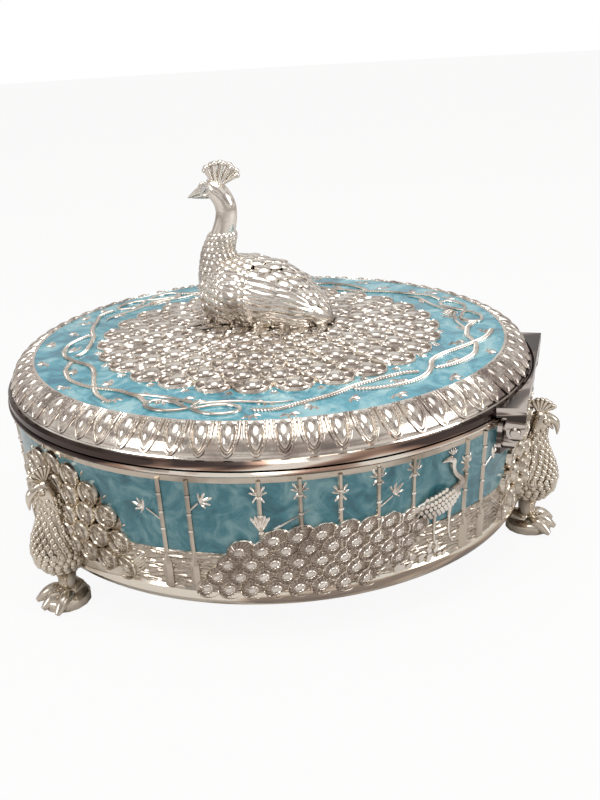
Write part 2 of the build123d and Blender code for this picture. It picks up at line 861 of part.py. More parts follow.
# Finial screws: up through the shell and the disc into the bird, heads under the lid
with BuildPart() as finial_screws:
    with BuildSketch(Plane.XY.offset(inner_z)):
        with Locations(*finial_screw_places):
            Circle(screw_radius)
    extrude(amount=disc_top + finial_screw_reach - inner_z - 0.5)
    with BuildSketch(Plane.XY.offset(inner_z)):
        with Locations(*finial_screw_places):
            Circle(screw_head_radius)
    extrude(amount=-screw_head_height)
finial_screws.part.label = "finial_screws"
export_step(finial_screws.part, "parts/finial_screws.step")

# Lid inner cover: shallow pressed pan that hides the screw heads, its rim against the shell
with BuildPart() as lid_inner_cover:
    with BuildSketch(Plane.XZ):
        with BuildLine():
            Polyline(
                (0, inner_z - cover_depth),
                (cover_radius, inner_z - cover_depth),
                (cover_radius, inner_z),
                (cover_radius - cover_thickness, inner_z),
                (cover_radius - cover_thickness, inner_z - cover_depth + cover_thickness),
                (0, inner_z - cover_depth + cover_thickness),
                close=True,
            )
        make_face()
    revolve(axis=Axis.Z)
lid_inner_cover.part.label = "lid_inner_cover"
export_step(lid_inner_cover.part, "parts/lid_inner_cover.step")

# Hinge bracket: straight-backed block that hugs the band, with an ear at each end
with BuildPart() as hinge_bracket:
    with BuildSketch(Plane.XY.offset(seam_height)):
        with Locations((0, bracket_y / 2)):
            Rectangle(2 * bracket_half_width, bracket_y)
        Circle(lid_radius, mode=Mode.SUBTRACT)
    extrude(amount=bracket_rise)
    for side in (-1, 1):
        with BuildSketch(Plane.YZ.offset(side * ear_inner)):
            with Locations((pin_y, pin_z)):
                Circle(ear_radius)
            with BuildLine():
                Polyline(
                    (pin_y - ear_radius, pin_z),
                    (pin_y + ear_radius, pin_z),
                    (bracket_y, seam_height + 0.5),
                    (pin_y - ear_radius, seam_height + 0.5),
                    close=True,
                )
            make_face()
        extrude(amount=side * ear_width)
    with BuildSketch(Plane.YZ):
        with Locations((pin_y, pin_z)):
            Circle(pin_radius + pin_clearance)
    extrude(amount=bracket_half_width + 1, both=True, mode=Mode.SUBTRACT)
    add(pin_relief(), mode=Mode.SUBTRACT)
    for side in (-1, 1):
        add(bracket_screw_tool(side, small_screw_radius + screw_hole_clearance, 0), mode=Mode.SUBTRACT)
hinge_bracket.part.label = "hinge_bracket"
export_step(hinge_bracket.part, "parts/hinge_bracket.step")

# Bracket screws: one near each ear, put in from inside the skirt
with BuildPart() as bracket_screws:
    for side in (-1, 1):
        add(bracket_screw_tool(side, small_screw_radius, small_head_radius))
bracket_screws.part.label = "bracket_screws"
export_step(bracket_screws.part, "parts/bracket_screws.step")
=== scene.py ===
import math
import random

import bpy
import numpy as np
from mathutils import Matrix, Quaternion, Vector


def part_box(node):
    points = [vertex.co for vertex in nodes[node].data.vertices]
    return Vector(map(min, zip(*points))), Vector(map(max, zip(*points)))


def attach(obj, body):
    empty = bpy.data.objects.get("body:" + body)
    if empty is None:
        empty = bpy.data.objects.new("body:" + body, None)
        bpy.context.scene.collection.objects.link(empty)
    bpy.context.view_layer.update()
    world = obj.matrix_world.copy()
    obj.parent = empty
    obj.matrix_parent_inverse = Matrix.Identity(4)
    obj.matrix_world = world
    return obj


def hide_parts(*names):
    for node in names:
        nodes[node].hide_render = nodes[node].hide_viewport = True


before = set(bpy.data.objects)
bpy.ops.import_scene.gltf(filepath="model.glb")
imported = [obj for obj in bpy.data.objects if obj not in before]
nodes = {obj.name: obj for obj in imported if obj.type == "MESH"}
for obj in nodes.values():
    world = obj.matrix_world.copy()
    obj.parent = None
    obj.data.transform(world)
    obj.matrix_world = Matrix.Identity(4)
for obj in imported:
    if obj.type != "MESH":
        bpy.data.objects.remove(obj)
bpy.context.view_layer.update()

# Camera: the photograph was taken by hand from the hinge side's right, looking down at the box.
# It has a small roll, and its frame is set off from the lens's axis.
camera_place = Vector((0.3825, 0.1304, 0.2027))
camera_target = Vector((0.0, 0.0, 0.0830))
camera_roll = math.radians(-3.37)
camera_data = bpy.data.cameras.new("camera")
camera = bpy.data.objects.new("camera", camera_data)
bpy.context.scene.collection.objects.link(camera)
camera.location = camera_place
camera.rotation_mode = "QUATERNION"
look = (camera_target - camera_place).to_track_quat("-Z", "Y")
camera.rotation_quaternion = look @ Quaternion((0, 0, 1), camera_roll)
camera_data.lens = 44.42
camera_data.sensor_width = 36.0
camera_data.shift_x = 0.0400
camera_data.shift_y = -0.0917
camera_data.clip_start = 0.01
camera_data.clip_end = 20.0
bpy.context.scene.camera = camera


# Studio: a pale table under soft lamps. What the plating mirrors is a plain pale room
# with soft darker patches, and the camera itself sees white behind the box.
def fill(made, inputs):
    """Gives a node its inputs: numbers, colours, other nodes, or one output of another node."""
    for socket, value in inputs.items():
        if isinstance(value, bpy.types.Node):
            value = value.outputs[0]
        if isinstance(value, bpy.types.NodeSocket):
            made.id_data.links.new(value, made.inputs[socket])
        else:
            made.inputs[socket].default_value = value
    return made


def node(tree, kind, inputs=None, **settings):
    """Adds a shader node with its settings and its inputs."""
    made = tree.nodes.new("ShaderNode" + kind)
    for setting, value in settings.items():
        setattr(made, setting, value)
    return fill(made, inputs or {})


def ramp(tree, source, *stops):
    """Colour ramp over a value, its stops given as (position, red, green, blue)."""
    made = node(tree, "ValToRGB", {"Fac": source})
    elements = made.color_ramp.elements
    for element, (position, *colour) in ((elements[0], stops[0]), (elements[1], stops[-1])):
        element.position = position
        element.color = (*colour, 1)
    for position, *colour in stops[1:-1]:
        elements.new(position).color = (*colour, 1)
    return made


def new_finish(name):
    """A new material, with its tree and its shader."""
    finish = bpy.data.materials.new(name)
    finish.use_nodes = True
    return finish, finish.node_tree, finish.node_tree.nodes["Principled BSDF"]


floor_radius = 6.0
floor_white_share = 0.92
room_strength = 0.72
room_white_share = 0.30
bpy.ops.object.select_all(action="DESELECT")
bpy.ops.mesh.primitive_circle_add(
    vertices=64, radius=floor_radius, fill_type="NGON", location=(0, 0, 0)
)
floor = bpy.context.object
floor.name = "table_top"
floor_finish, floor_tree, floor_shader = new_finish("table_top")
fill(floor_shader, {"Base Color": (0.90, 0.90, 0.90, 1), "Roughness": 0.7, "Specular IOR Level": 0.1})
floor_seen = node(floor_tree, "LightPath").outputs
floor_rays = node(floor_tree, "Math", {
    0: floor_seen["Is Camera Ray"], 1: floor_seen["Is Transmission Ray"],
}, operation="MAXIMUM")
floor_share = node(floor_tree, "Math", {0: floor_rays, 1: floor_white_share}, operation="MULTIPLY")
floor_mix = node(floor_tree, "MixShader", {
    0: floor_share, 1: floor_shader, 2: node(floor_tree, "Emission"),
})
fill(floor_tree.nodes["Material Output"], {"Surface": floor_mix})
floor.data.materials.append(floor_finish)

world = bpy.data.worlds.new("room")
bpy.context.scene.world = world
world.use_nodes = True
room = world.node_tree
room.nodes.clear()
room_place = node(room, "Mapping", {
    "Vector": node(room, "TexCoord").outputs["Generated"], "Scale": (1.4, 1.4, 3.6),
})
room_patches = node(room, "TexNoise", {"Vector": room_place, "Scale": 1.7, "Detail": 2.0})
room_tones = ramp(
    room, room_patches, (0.40, 0.035, 0.028, 0.024), (0.48, 0.52, 0.36, 0.30), (0.56, 0.97, 0.96, 0.93)
)
room_seen = node(room, "LightPath").outputs
room_mirrored = node(room, "Math", {
    0: room_seen["Is Glossy Ray"], 1: room_white_share, 2: room_seen["Is Transmission Ray"],
}, operation="MULTIPLY_ADD")
room_rays = node(room, "Math", {0: room_seen["Is Camera Ray"], 1: room_mirrored}, operation="MAXIMUM")
room_mix = node(room, "MixShader", {
    0: room_rays,
    1: node(room, "Background", {"Color": room_tones, "Strength": room_strength}),
    2: node(room, "Background", {"Color": (1, 1, 1, 1), "Strength": 1.0}),
})
node(room, "OutputWorld", {"Surface": room_mix})

lamp_target = Vector((0, 0, 0.08))
for lamp_name, lamp_place, lamp_size, lamp_power in (
    ("lamp_over", (0.15, 0.05, 0.95), 0.70, 2.7),
    ("lamp_front", (0.80, -0.55, 0.55), 0.45, 2.1),
    ("lamp_back", (0.10, 0.95, 0.50), 0.45, 2.5),
):
    lamp_data = bpy.data.lights.new(lamp_name, "AREA")
    lamp_data.shape = "DISK"
    lamp_data.size = lamp_size
    lamp_data.energy = lamp_power
    lamp = bpy.data.objects.new(lamp_name, lamp_data)
    bpy.context.scene.collection.objects.link(lamp)
    lamp.location = lamp_place
    lamp.rotation_euler = (lamp_target - Vector(lamp_place)).to_track_quat("-Z", "Y").to_euler()
bpy.context.scene.view_settings.view_transform = "Standard"


# Drum: a tapered zinc casting, plated pale champagne silver. The plating is bright on the raised parts, and
# painted darker and a little brown in the hollows of the casting, which is painted shade.
def new_group(name, inputs, outputs):
    """A shader node group with its sockets, what it is given and the node of its results."""
    group = bpy.data.node_groups.new(name, "ShaderNodeTree")
    for socket, value in inputs.items():
        kind = "NodeSocketFloat" if isinstance(value, float) else "NodeSocketColor"
        group.interface.new_socket(socket, in_out="INPUT", socket_type=kind).default_value = value
    for socket in outputs:
        kind = "NodeSocketColor" if socket == "Color" else "NodeSocketFloat"
        group.interface.new_socket(socket, in_out="OUTPUT", socket_type=kind)
    return group, group.nodes.new("NodeGroupInput").outputs, group.nodes.new("NodeGroupOutput")


def plating_group():
    """Tone, roughness and fine surface height of worn plating on a casting, with painted shade in its hollows."""
    group, given, result = new_group("plating", {
        "Bright": (0.82, 0.78, 0.71, 1), "Shade and blotch": (0.42, 0.36, 0.29, 1), "Grain": 900.0,
        "Shade and blotch amount": 0.35, "Smooth": 0.16, "Rough": 0.38,
    }, ("Color", "Roughness", "Height"))
    place = node(group, "TexCoord").outputs["Object"]
    blotch = node(group, "TexNoise", {"Vector": place, "Scale": 60.0, "Detail": 4.0})
    grain = node(group, "TexNoise", {"Vector": place, "Scale": given["Grain"], "Detail": 3.0})
    # Painted shade: the hollows, found by low pointiness, are darkened towards the shade and blotch tone; the random
    # blotches are real dull wear.
    edges = node(group, "NewGeometry").outputs["Pointiness"]
    hollow_shade = node(group, "MapRange", {"Value": edges, "From Min": 0.52, "From Max": 0.44})
    patch = node(group, "MapRange", {"Value": blotch, "From Min": 0.48, "From Max": 0.75})
    both = node(group, "Math", {0: hollow_shade, 1: patch}, operation="MAXIMUM")
    amount = node(group, "Math", {0: both, 1: given["Shade and blotch amount"]}, operation="MULTIPLY")
    tone = node(group, "Mix", {0: amount, 6: given["Bright"], 7: given["Shade and blotch"]}, data_type="RGBA")
    rough = node(group, "Mix", {0: amount, 2: given["Smooth"], 3: given["Rough"]})
    fill(result, {"Color": tone.outputs[2], "Roughness": rough, "Height": grain})
    return group


plating = plating_group()


def plated(name, bright, shade_and_blotch_tone, shade_and_blotch_amount, smooth, rough, bump, grain=900.0):
    """Metal finish that takes its tone, with painted shade in the hollows, and its roughness from the plating group.
    """
    finish, tree, shader = new_finish(name)
    tone = node(tree, "Group", node_tree=plating)
    fill(tone, {
        "Bright": (*bright, 1), "Shade and blotch": (*shade_and_blotch_tone, 1), "Shade and blotch amount": shade_and_blotch_amount,
        "Smooth": smooth, "Rough": rough, "Grain": grain,
    })
    relief = node(tree, "Bump", {"Strength": bump, "Distance": 0.0002, "Height": tone.outputs["Height"]})
    fill(shader, {
        "Metallic": 1.0, "Base Color": tone.outputs["Color"],
        "Roughness": tone.outputs["Roughness"], "Normal": relief,
    })
    return finish


def dress(finish, *names):
    """Gives solids from the frame their finish."""
    for name in names:
        nodes[name].data.materials.clear()
        nodes[name].data.materials.append(finish)


drum_silver = plated("drum_silver", (0.58, 0.515, 0.435), (0.20, 0.16, 0.12), 0.75, 0.18, 0.38, 0.25)
dress(drum_silver, "body_wall")


# Base ring and body rim: two turned rings, soldered to the drum's lower and upper edges. They
# have the same plating, buffed on the wheel, with long soft dark and pale bands that run round them, which are painted
# reflections.
def reflection_band_group():
    """Long painted reflection bands round a buffed ring: their tone, and how rough the metal is under them."""
    group, given, result = new_group("painted_reflection_bands", {
        "Dark": (0.07, 0.05, 0.045, 1), "Warm": (0.46, 0.28, 0.17, 1), "Pale": (0.88, 0.81, 0.72, 1),
        "Length": 9.0, "Amount": 0.5,
    }, ("Color", "Roughness"))
    place = node(group, "TexCoord").outputs["Object"]
    spread = node(group, "Mapping", {"Vector": place, "Scale": (1.0, 1.0, 14.0)})
    # Painted reflections: noise stretched round the ring paints long dark, warm and pale bands into the metal's
    # colour, the pale ones smoother.
    wave = node(group, "TexNoise", {
        "Vector": spread, "Scale": given["Length"], "Detail": 2.0, "Distortion": 0.6,
    })
    shifted = node(group, "Math", {0: wave, 1: given["Amount"]}, operation="SUBTRACT")
    first = node(group, "MapRange", {"Value": shifted, "From Min": -0.06, "From Max": 0.0})
    second = node(group, "MapRange", {"Value": shifted, "From Min": 0.0, "From Max": 0.05})
    warm = node(group, "Mix", {0: first, 6: given["Dark"], 7: given["Warm"]}, data_type="RGBA")
    pale = node(group, "Mix", {0: second, 6: warm.outputs[2], 7: given["Pale"]}, data_type="RGBA")
    rough = node(group, "MapRange", {"Value": second, "To Min": 0.14, "To Max": 0.05})
    fill(result, {"Color": pale.outputs[2], "Roughness": rough})
    return group


painted_reflection_bands = reflection_band_group()


def buffed(name, dark, warm, pale, length, amount):
    """Mirror-bright metal finish that takes its tone, with painted reflection bands, and its roughness from the
    reflection band group.
    """
    finish, tree, shader = new_finish(name)
    tone = node(tree, "Group", node_tree=painted_reflection_bands)
    fill(tone, {
        "Dark": (*dark, 1), "Warm": (*warm, 1), "Pale": (*pale, 1), "Length": length, "Amount": amount,
    })
    fill(shader, {
        "Metallic": 1.0, "Base Color": tone.outputs["Color"], "Roughness": tone.outputs["Roughness"],
    })
    return finish


polished = buffed("polished", (0.075, 0.055, 0.050), (0.42, 0.27, 0.20), (0.86, 0.79, 0.70), 11.0, 0.52)
base_buffed = buffed("base_buffed", (0.30, 0.24, 0.20), (0.60, 0.49, 0.38), (0.84, 0.78, 0.68), 11.0, 0.47)
dress(base_buffed, "base_ring")
dress(polished, "body_rim")


# Water: the bare lower third of the drum is cast as a pond, with fine lines of ripples
# that run round it between the base ring and the enamel.
def choose(piece):
    """Selects one piece alone."""
    bpy.ops.object.select_all(action="DESELECT")
    piece.select_set(True)
    bpy.context.view_layer.objects.active = piece


def fresh(name, add_primitive, stretch=(1, 1, 1), **sizes):
    """Starts a piece from a primitive, with its place, turn and size in its mesh."""
    bpy.ops.object.select_all(action="DESELECT")
    add_primitive(**sizes)
    piece = bpy.context.object
    piece.name = name
    piece.scale = stretch
    bpy.ops.object.transform_apply(location=True, rotation=True, scale=True)
    return piece


def clean(piece, gap=0.00001):
    """Merges doubles and turns every face outwards."""
    choose(piece)
    bpy.ops.object.mode_set(mode="EDIT")
    bpy.ops.mesh.select_all(action="SELECT")
    bpy.ops.mesh.remove_doubles(threshold=gap)
    bpy.ops.mesh.normals_make_consistent(inside=False)
    bpy.ops.object.mode_set(mode="OBJECT")
    return piece


def finish_piece(piece, finish, body, smooth=35.0):
    """Last steps of every new piece: shading, finish, body and the slot that it is painted from."""
    choose(piece)
    bpy.ops.object.shade_smooth_by_angle(angle=math.radians(smooth))
    piece.data.materials.clear()
    piece.data.materials.append(finish)
    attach(piece, body)
    return piece


ring_low, ring_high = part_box("base_ring")
drum_base_z = ring_low.z
drum_top_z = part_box("body_rim")[0].z
drum_top_radius = 0.1084
drum_taper = 0.004
drum_base_radius = drum_top_radius - drum_taper
drum_length = 2 * math.pi * drum_top_radius


def on_drum(points):
    """Carries (length round the drum, height, stand-out) on to the drum's tapered face."""
    length, height, out = points[:, 0], points[:, 1], points[:, 2]
    angle = length / drum_top_radius
    radius = drum_base_radius + drum_taper * (height - drum_base_z) / (drum_top_z - drum_base_z) + out
    return np.column_stack((radius * np.cos(angle), radius * np.sin(angle), height))


water_low = ring_high.z - 0.0004
water_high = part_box("wall_enamel_right")[0].z + 0.0002
ripple_gap = 0.00150
ripple_height = 0.00075
water_wall_thickness = 0.0006
water = fresh(
    "wall_water", bpy.ops.mesh.primitive_grid_add, x_subdivisions=420, y_subdivisions=46, size=1.0
)
water_points = np.array([corner.co for corner in water.data.vertices])
water_length = (water_points[:, 0] + 0.5) * drum_length
water_round = water_length / drum_length * 2 * math.pi
water_height = water_low + (water_points[:, 1] + 0.5) * (water_high - water_low)
water_sway = 0.0006 * np.sin(water_round * 21)
water_sway += 0.0005 * np.sin(water_round * 57 + water_height * 900)
water_wave = 0.5 + 0.5 * np.sin((water_height + water_sway) / ripple_gap * 2 * math.pi)
water_fade = 0.45 + 0.55 * np.sin(water_round * 33 + water_height * 2600)
water_out = 0.00012 + ripple_height * water_wave**1.6 * (0.55 + 0.45 * water_fade)
water_edge = np.minimum(water_height - water_low, water_high - water_height) < 0.00001
water_out[water_edge] = -0.0003
water_points = on_drum(np.column_stack((water_length, water_height, water_out)))
water.data.vertices.foreach_set("co", water_points.ravel())
clean(water)
water_backing = water.modifiers.new("backing", "SOLIDIFY")
water_backing.thickness = water_wall_thickness
water_backing.offset = -1.0
bpy.ops.object.modifier_apply(modifier="backing")
finish_piece(water, drum_silver, "root", 50)


# Bamboo: stems stand on the drum between the enamel cells, and each carries small fans
# of pointed leaves, cast with the drum and left bright above the enamel.
def open_mesh(piece, wanted=None):
    """Opens a piece for editing, with all of it selected or the faces that the test wants."""
    bpy.ops.object.mode_set(mode="EDIT")
    bpy.ops.mesh.select_all(action="SELECT")
    if wanted is not None:
        bpy.ops.mesh.select_mode(type="FACE")
        bpy.ops.mesh.select_all(action="DESELECT")
        bpy.ops.object.mode_set(mode="OBJECT")
        for face in piece.data.polygons:
            face.select = bool(wanted(face))
        bpy.ops.object.mode_set(mode="EDIT")


def close_mesh():
    """Ends the editing of a piece."""
    bpy.ops.object.mode_set(mode="OBJECT")


def copies(name, pattern, places, bend=None):
    """One piece made of a pattern's copies; bend carries the flat layout on to its surface."""
    corners = np.array([corner.co for corner in pattern.data.vertices])
    outlines = [tuple(face.vertices) for face in pattern.data.polygons]
    points, faces = [], []
    for place in places:
        matrix = np.array(place)
        shift = len(points) * len(corners)
        points.append(corners @ matrix[:3, :3].T + matrix[:3, 3])
        faces.extend(tuple(index + shift for index in outline) for outline in outlines)
    points = np.concatenate(points)
    if bend is not None:
        points = bend(points)
    mesh = bpy.data.meshes.new(name)
    mesh.from_pydata(points.tolist(), [], faces)
    mesh.update()
    piece = bpy.data.objects.new(name, mesh)
    bpy.context.scene.collection.objects.link(piece)
    return piece


def join(name, *pieces):
    """Joins finished meshes into one piece."""
    bpy.ops.object.select_all(action="DESELECT")
    for piece in pieces:
        piece.select_set(True)
    bpy.context.view_layer.objects.active = pieces[0]
    bpy.ops.object.join()
    pieces[0].name = name
    return pieces[0]


def at(x, y, z, turn=0.0, sx=1.0, sy=1.0, sz=1.0):
    """Place in the flat layout, turned in its plane and sized along each side."""
    return Matrix.Translation((x, y, z)) @ Matrix.Rotation(turn, 4, "Z") @ Matrix.Diagonal((sx, sy, sz, 1))


mm = 0.001
sector_angles = {"right": 30.0, "left": 150.0, "front": 270.0}


def drum_place(sector, offset, height_mm):
    """Length round the drum and height of a point given from a sector's middle."""
    return math.radians(sector + offset) * drum_top_radius, height_mm * mm


leaf_half_width = 0.27
leaf = fresh(
    "leaf_pattern", bpy.ops.mesh.primitive_cone_add, (leaf_half_width, 1.0, 1.0),
    vertices=8, radius1=1.0, radius2=0.0, depth=0.5, end_fill_type="NGON", location=(0, 0, 0.1),
)
open_mesh(leaf)
bpy.ops.mesh.bevel(offset=0.035, segments=1, affect="EDGES")
bpy.ops.mesh.select_all(action="SELECT")
bpy.ops.transform.translate(value=(0, 0.9, 0))
close_mesh()
leaf_length = 0.0024
# A spray's leaves, each by its turn and its share of the full length
leaf_fan = ((-1.25, 0.75), (-0.62, 0.95), (0.0, 1.15), (0.62, 0.95), (1.25, 0.75))
# Each spray: offset from the sector's middle in degrees, height in mm, and its turn from upright
leaf_sprays = (
    (-36.6, 50.0, 1.3), (-25.4, 54.4, -1.2), (-14.7, 57.0, 0.0), (-7.3, 57.6, 0.0), (0.0, 55.0, 0.0),
    (7.2, 58.6, 0.0), (10.2, 51.2, -0.9), (14.6, 58.0, 0.0), (27.6, 53.4, 0.0), (36.2, 51.0, -1.2),
)
spray_places = []
for sector in sector_angles.values():
    for offset, height_mm, lean in leaf_sprays:
        x, y = drum_place(sector, offset, height_mm)
        for turn, share in leaf_fan:
            size = leaf_length * share
            spray_places.append(at(x, y, 0.0002, turn + lean, size, size, 0.0016))
        if lean == 0.0:
            for turn in (2.5, -2.5):
                spray_places.append(at(x, y, 0.0002, turn, leaf_length * 0.8, leaf_length * 0.8, 0.0014))
bamboo = copies("bamboo_leaves", leaf, spray_places, on_drum)

twig = fresh(
    "twig_pattern", bpy.ops.mesh.primitive_cylinder_add,
    vertices=6, radius=1.0, depth=1.0, end_fill_type="NGON", rotation=(math.pi / 2, 0, 0),
)
open_mesh(twig)
bpy.ops.mesh.bevel(offset=0.12, segments=1, affect="EDGES")
close_mesh()


def rod(start, end, radius, out=0.0002):
    """Place of a twig that runs between two points of the flat layout."""
    run = Vector((end[0] - start[0], end[1] - start[1]))
    turn = math.atan2(run.y, run.x) - math.pi / 2
    return at((start[0] + end[0]) / 2, (start[1] + end[1]) / 2, out, turn, radius, run.length, radius)


# Each branch: offsets of its stem and of its leaf spray in degrees, and the heights of both in mm
branches = (
    (-33.0, -36.0, 46.0, 50.0), (-27.5, -25.6, 50.5, 54.0), (33.0, 35.6, 47.5, 50.6),
    (7.25, 10.0, 47.0, 50.5),
)
stem_offsets = (-33.0, -27.5, -14.5, -7.25, 0.0, 7.25, 14.5, 27.5, 33.0)
branch_radius = 0.00038
joint_size = (0.00115, 0.0008, 0.00115)
twig_places = []
for sector in sector_angles.values():
    for stem_offset, spray_offset, low_mm, high_mm in branches:
        twig_places.append(rod(
            drum_place(sector, stem_offset, low_mm), drum_place(sector, spray_offset, high_mm), branch_radius
        ))
    for offset in stem_offsets:
        for height_mm in (43.0, 49.5, 56.5):
            twig_places.append(at(*drum_place(sector, offset, height_mm), 0.0002, 0, *joint_size))
twigs = copies("bamboo_twigs", twig, twig_places, on_drum)
bamboo = join("bamboo_relief", clean(bamboo), clean(twigs))
cast_silver = plated("cast_silver", (0.88, 0.83, 0.76), (0.26, 0.20, 0.16), 0.85, 0.12, 0.34, 0.20)
finish_piece(bamboo, cast_silver, "root", 40)


# Wall enamel: coloured resin poured between the stems, with pearly swirls under a clear gloss.
# It is deeper and greener on the drum than on the lid.
def enamel(name, deep, middle, light, swirl_scale, warp, light_share):
    """Swirled resin under a glossy coat."""
    finish, tree, shader = new_finish(name)
    place = node(tree, "TexCoord").outputs["Object"]
    drift = node(tree, "TexNoise", {"Vector": place, "Scale": swirl_scale * 0.7, "Detail": 2.0})
    pull = node(
        tree, "Mix", {0: warp, 6: place, 7: drift.outputs["Color"]},
        data_type="RGBA", blend_type="LINEAR_LIGHT",
    )
    swirl = node(tree, "TexNoise", {
        "Vector": pull.outputs[2], "Scale": swirl_scale, "Detail": 6.0, "Roughness": 0.6,
    })
    fill(shader, {
        "Base Color": ramp(tree, swirl, (0.36, *deep), (0.49, *middle), (light_share, *light)),
        "Roughness": 0.22, "Coat Weight": 0.5, "Coat Roughness": 0.04,
        "Normal": node(tree, "Bump", {"Strength": 0.15, "Distance": 0.0004, "Height": drift}),
    })
    return finish


wall_blue = enamel(
    "wall_enamel", (0.016, 0.115, 0.150), (0.040, 0.195, 0.240), (0.22, 0.40, 0.43), 60.0, 0.05, 0.72
)
dress(wall_blue, "wall_enamel_right", "wall_enamel_left", "wall_enamel_front")


# Peacocks in relief: in each sector a bird stands by the pond with its long tail laid out beside
# it, feather over feather, all cast with the drum. The eye feather is modelled once.
def is_top(face):
    """Test for the faces that look up."""
    return face.normal.z > 0.9


def eye_feather(name, sides, steps, barb_step, barb_width, slide):
    """Round-ended feather with a raised edge, cut barbs and a raised eye, one unit to its edge."""
    feather = fresh(
        name, bpy.ops.mesh.primitive_cylinder_add,
        vertices=sides, radius=1.0, depth=0.5, end_fill_type="NGON", location=(0, 0, -0.25),
    )
    open_mesh(feather, is_top)
    for width, rise in steps:
        bpy.ops.mesh.inset(thickness=width, depth=rise)
        bpy.ops.transform.translate(value=(0, slide * width, 0))
    first_barb = sides * (1 + barb_step) + 2
    open_mesh(feather, lambda face: first_barb <= face.index < first_barb + sides)
    bpy.ops.mesh.inset(thickness=barb_width, depth=-0.07, use_individual=True)
    close_mesh()
    return feather


def leaning(x, y, z, turn, tilt, sx, sy, sz):
    """Place in the flat layout with its tip, along +Y before the turn, lifted by the tilt."""
    turned = Matrix.Rotation(turn, 4, "Z") @ Matrix.Rotation(tilt, 4, "X")
    return Matrix.Translation((x, y, z)) @ turned @ Matrix.Diagonal((sx, sy, sz, 1))


def strands(name, routes, sides=1, steps=3, bend=None):
    """Cast lines that swell and taper along routes of (x, y, z, radius)."""
    curve = bpy.data.curves.new(name, "CURVE")
    curve.dimensions = "3D"
    curve.bevel_depth = 1.0
    curve.bevel_resolution = sides
    curve.use_fill_caps = True
    curve.resolution_u = steps
    for route in routes:
        spline = curve.splines.new("NURBS")
        spline.points.add(len(route) - 1)
        for point, (x, y, z, radius) in zip(spline.points, route):
            point.co = (x, y, z, 1)
            point.radius = radius
        spline.use_endpoint_u = True
        spline.order_u = 3
    drawn = bpy.data.objects.new(name + "_route", curve)
    bpy.context.scene.collection.objects.link(drawn)
    bpy.context.view_layer.update()
    mesh = bpy.data.meshes.new_from_object(drawn.evaluated_get(bpy.context.evaluated_depsgraph_get()))
    bpy.data.objects.remove(drawn)
    if bend is not None:
        points = np.array([corner.co for corner in mesh.vertices])
        mesh.vertices.foreach_set("co", bend(points).ravel())
    mesh.name = name
    piece = bpy.data.objects.new(name, mesh)
    bpy.context.scene.collection.objects.link(piece)
    return piece


small_steps = ((0.07, 0.11), (0.06, -0.10), (0.48, 0.12), (0.05, 0.06), (0.05, -0.07), (0.10, 0.06))
small_feather = eye_feather("small_feather", 16, small_steps, 2, 0.045, 0.30)
tail_left = -25.0
tail_right = 17.0
tail_step = 8.2
tail_row = 5.0
feather_size = 4.7
# Upper edge of the tail: offsets in degrees from the sector's middle, and heights in mm
contour_offsets = (-26.0, -21.0, -16.3, -10.6, -0.8, 10.0, 19.0)
contour_heights = (29.0, 36.5, 40.5, 43.5, 45.6, 46.5, 45.0)
degree_length = math.radians(1.0) * drum_top_radius * 1000
feather_draw = random.Random(4)
tail_places = []
for row in range(6):
    row_height = 21.0 + tail_row * row
    for index in range(14):
        offset = tail_left + (index + 0.5 * (row % 2)) * tail_step / degree_length
        ceiling = float(np.interp(offset, contour_offsets, contour_heights)) - 2.6
        floor_height = 20.0 + max(0.0, (offset - 9.0) * 1.5)
        if row_height > ceiling + 1.2 or offset > tail_right or row_height < floor_height:
            continue
        shrink = 1.0 - 0.25 * max(0.0, offset) / tail_right
        height_mm = min(row_height, ceiling)
        turn = math.pi / 2 + 0.25 - 0.012 * (offset + 4) + feather_draw.uniform(-0.10, 0.10)
        tail_places.append((offset, height_mm, turn, feather_size * shrink * mm))
relief_places = [
    leaning(*drum_place(sector, offset, height_mm), 0.0008, turn, 0.13, size * 0.88, size * 1.15, size * 0.9)
    for sector in sector_angles.values() for offset, height_mm, turn, size in tail_places
]
tails = copies("tail_relief", small_feather, relief_places, on_drum)

bead = fresh("bead_pattern", bpy.ops.mesh.primitive_ico_sphere_add, subdivisions=2, radius=1.0)
open_mesh(bead)
bpy.ops.transform.resize(value=(1, 1.15, 0.9))
close_mesh()
small_bead = fresh("small_bead_pattern", bpy.ops.mesh.primitive_ico_sphere_add, subdivisions=1, radius=1.0)
open_mesh(small_bead)
bpy.ops.transform.resize(value=(1, 1.2, 0.9))
close_mesh()


def drum_route(sector, *points):
    """Route on the drum from offsets in degrees, heights in mm, and stand-outs and sizes in metres."""
    return [(*drum_place(sector, offset, height_mm), out, size) for offset, height_mm, out, size in points]


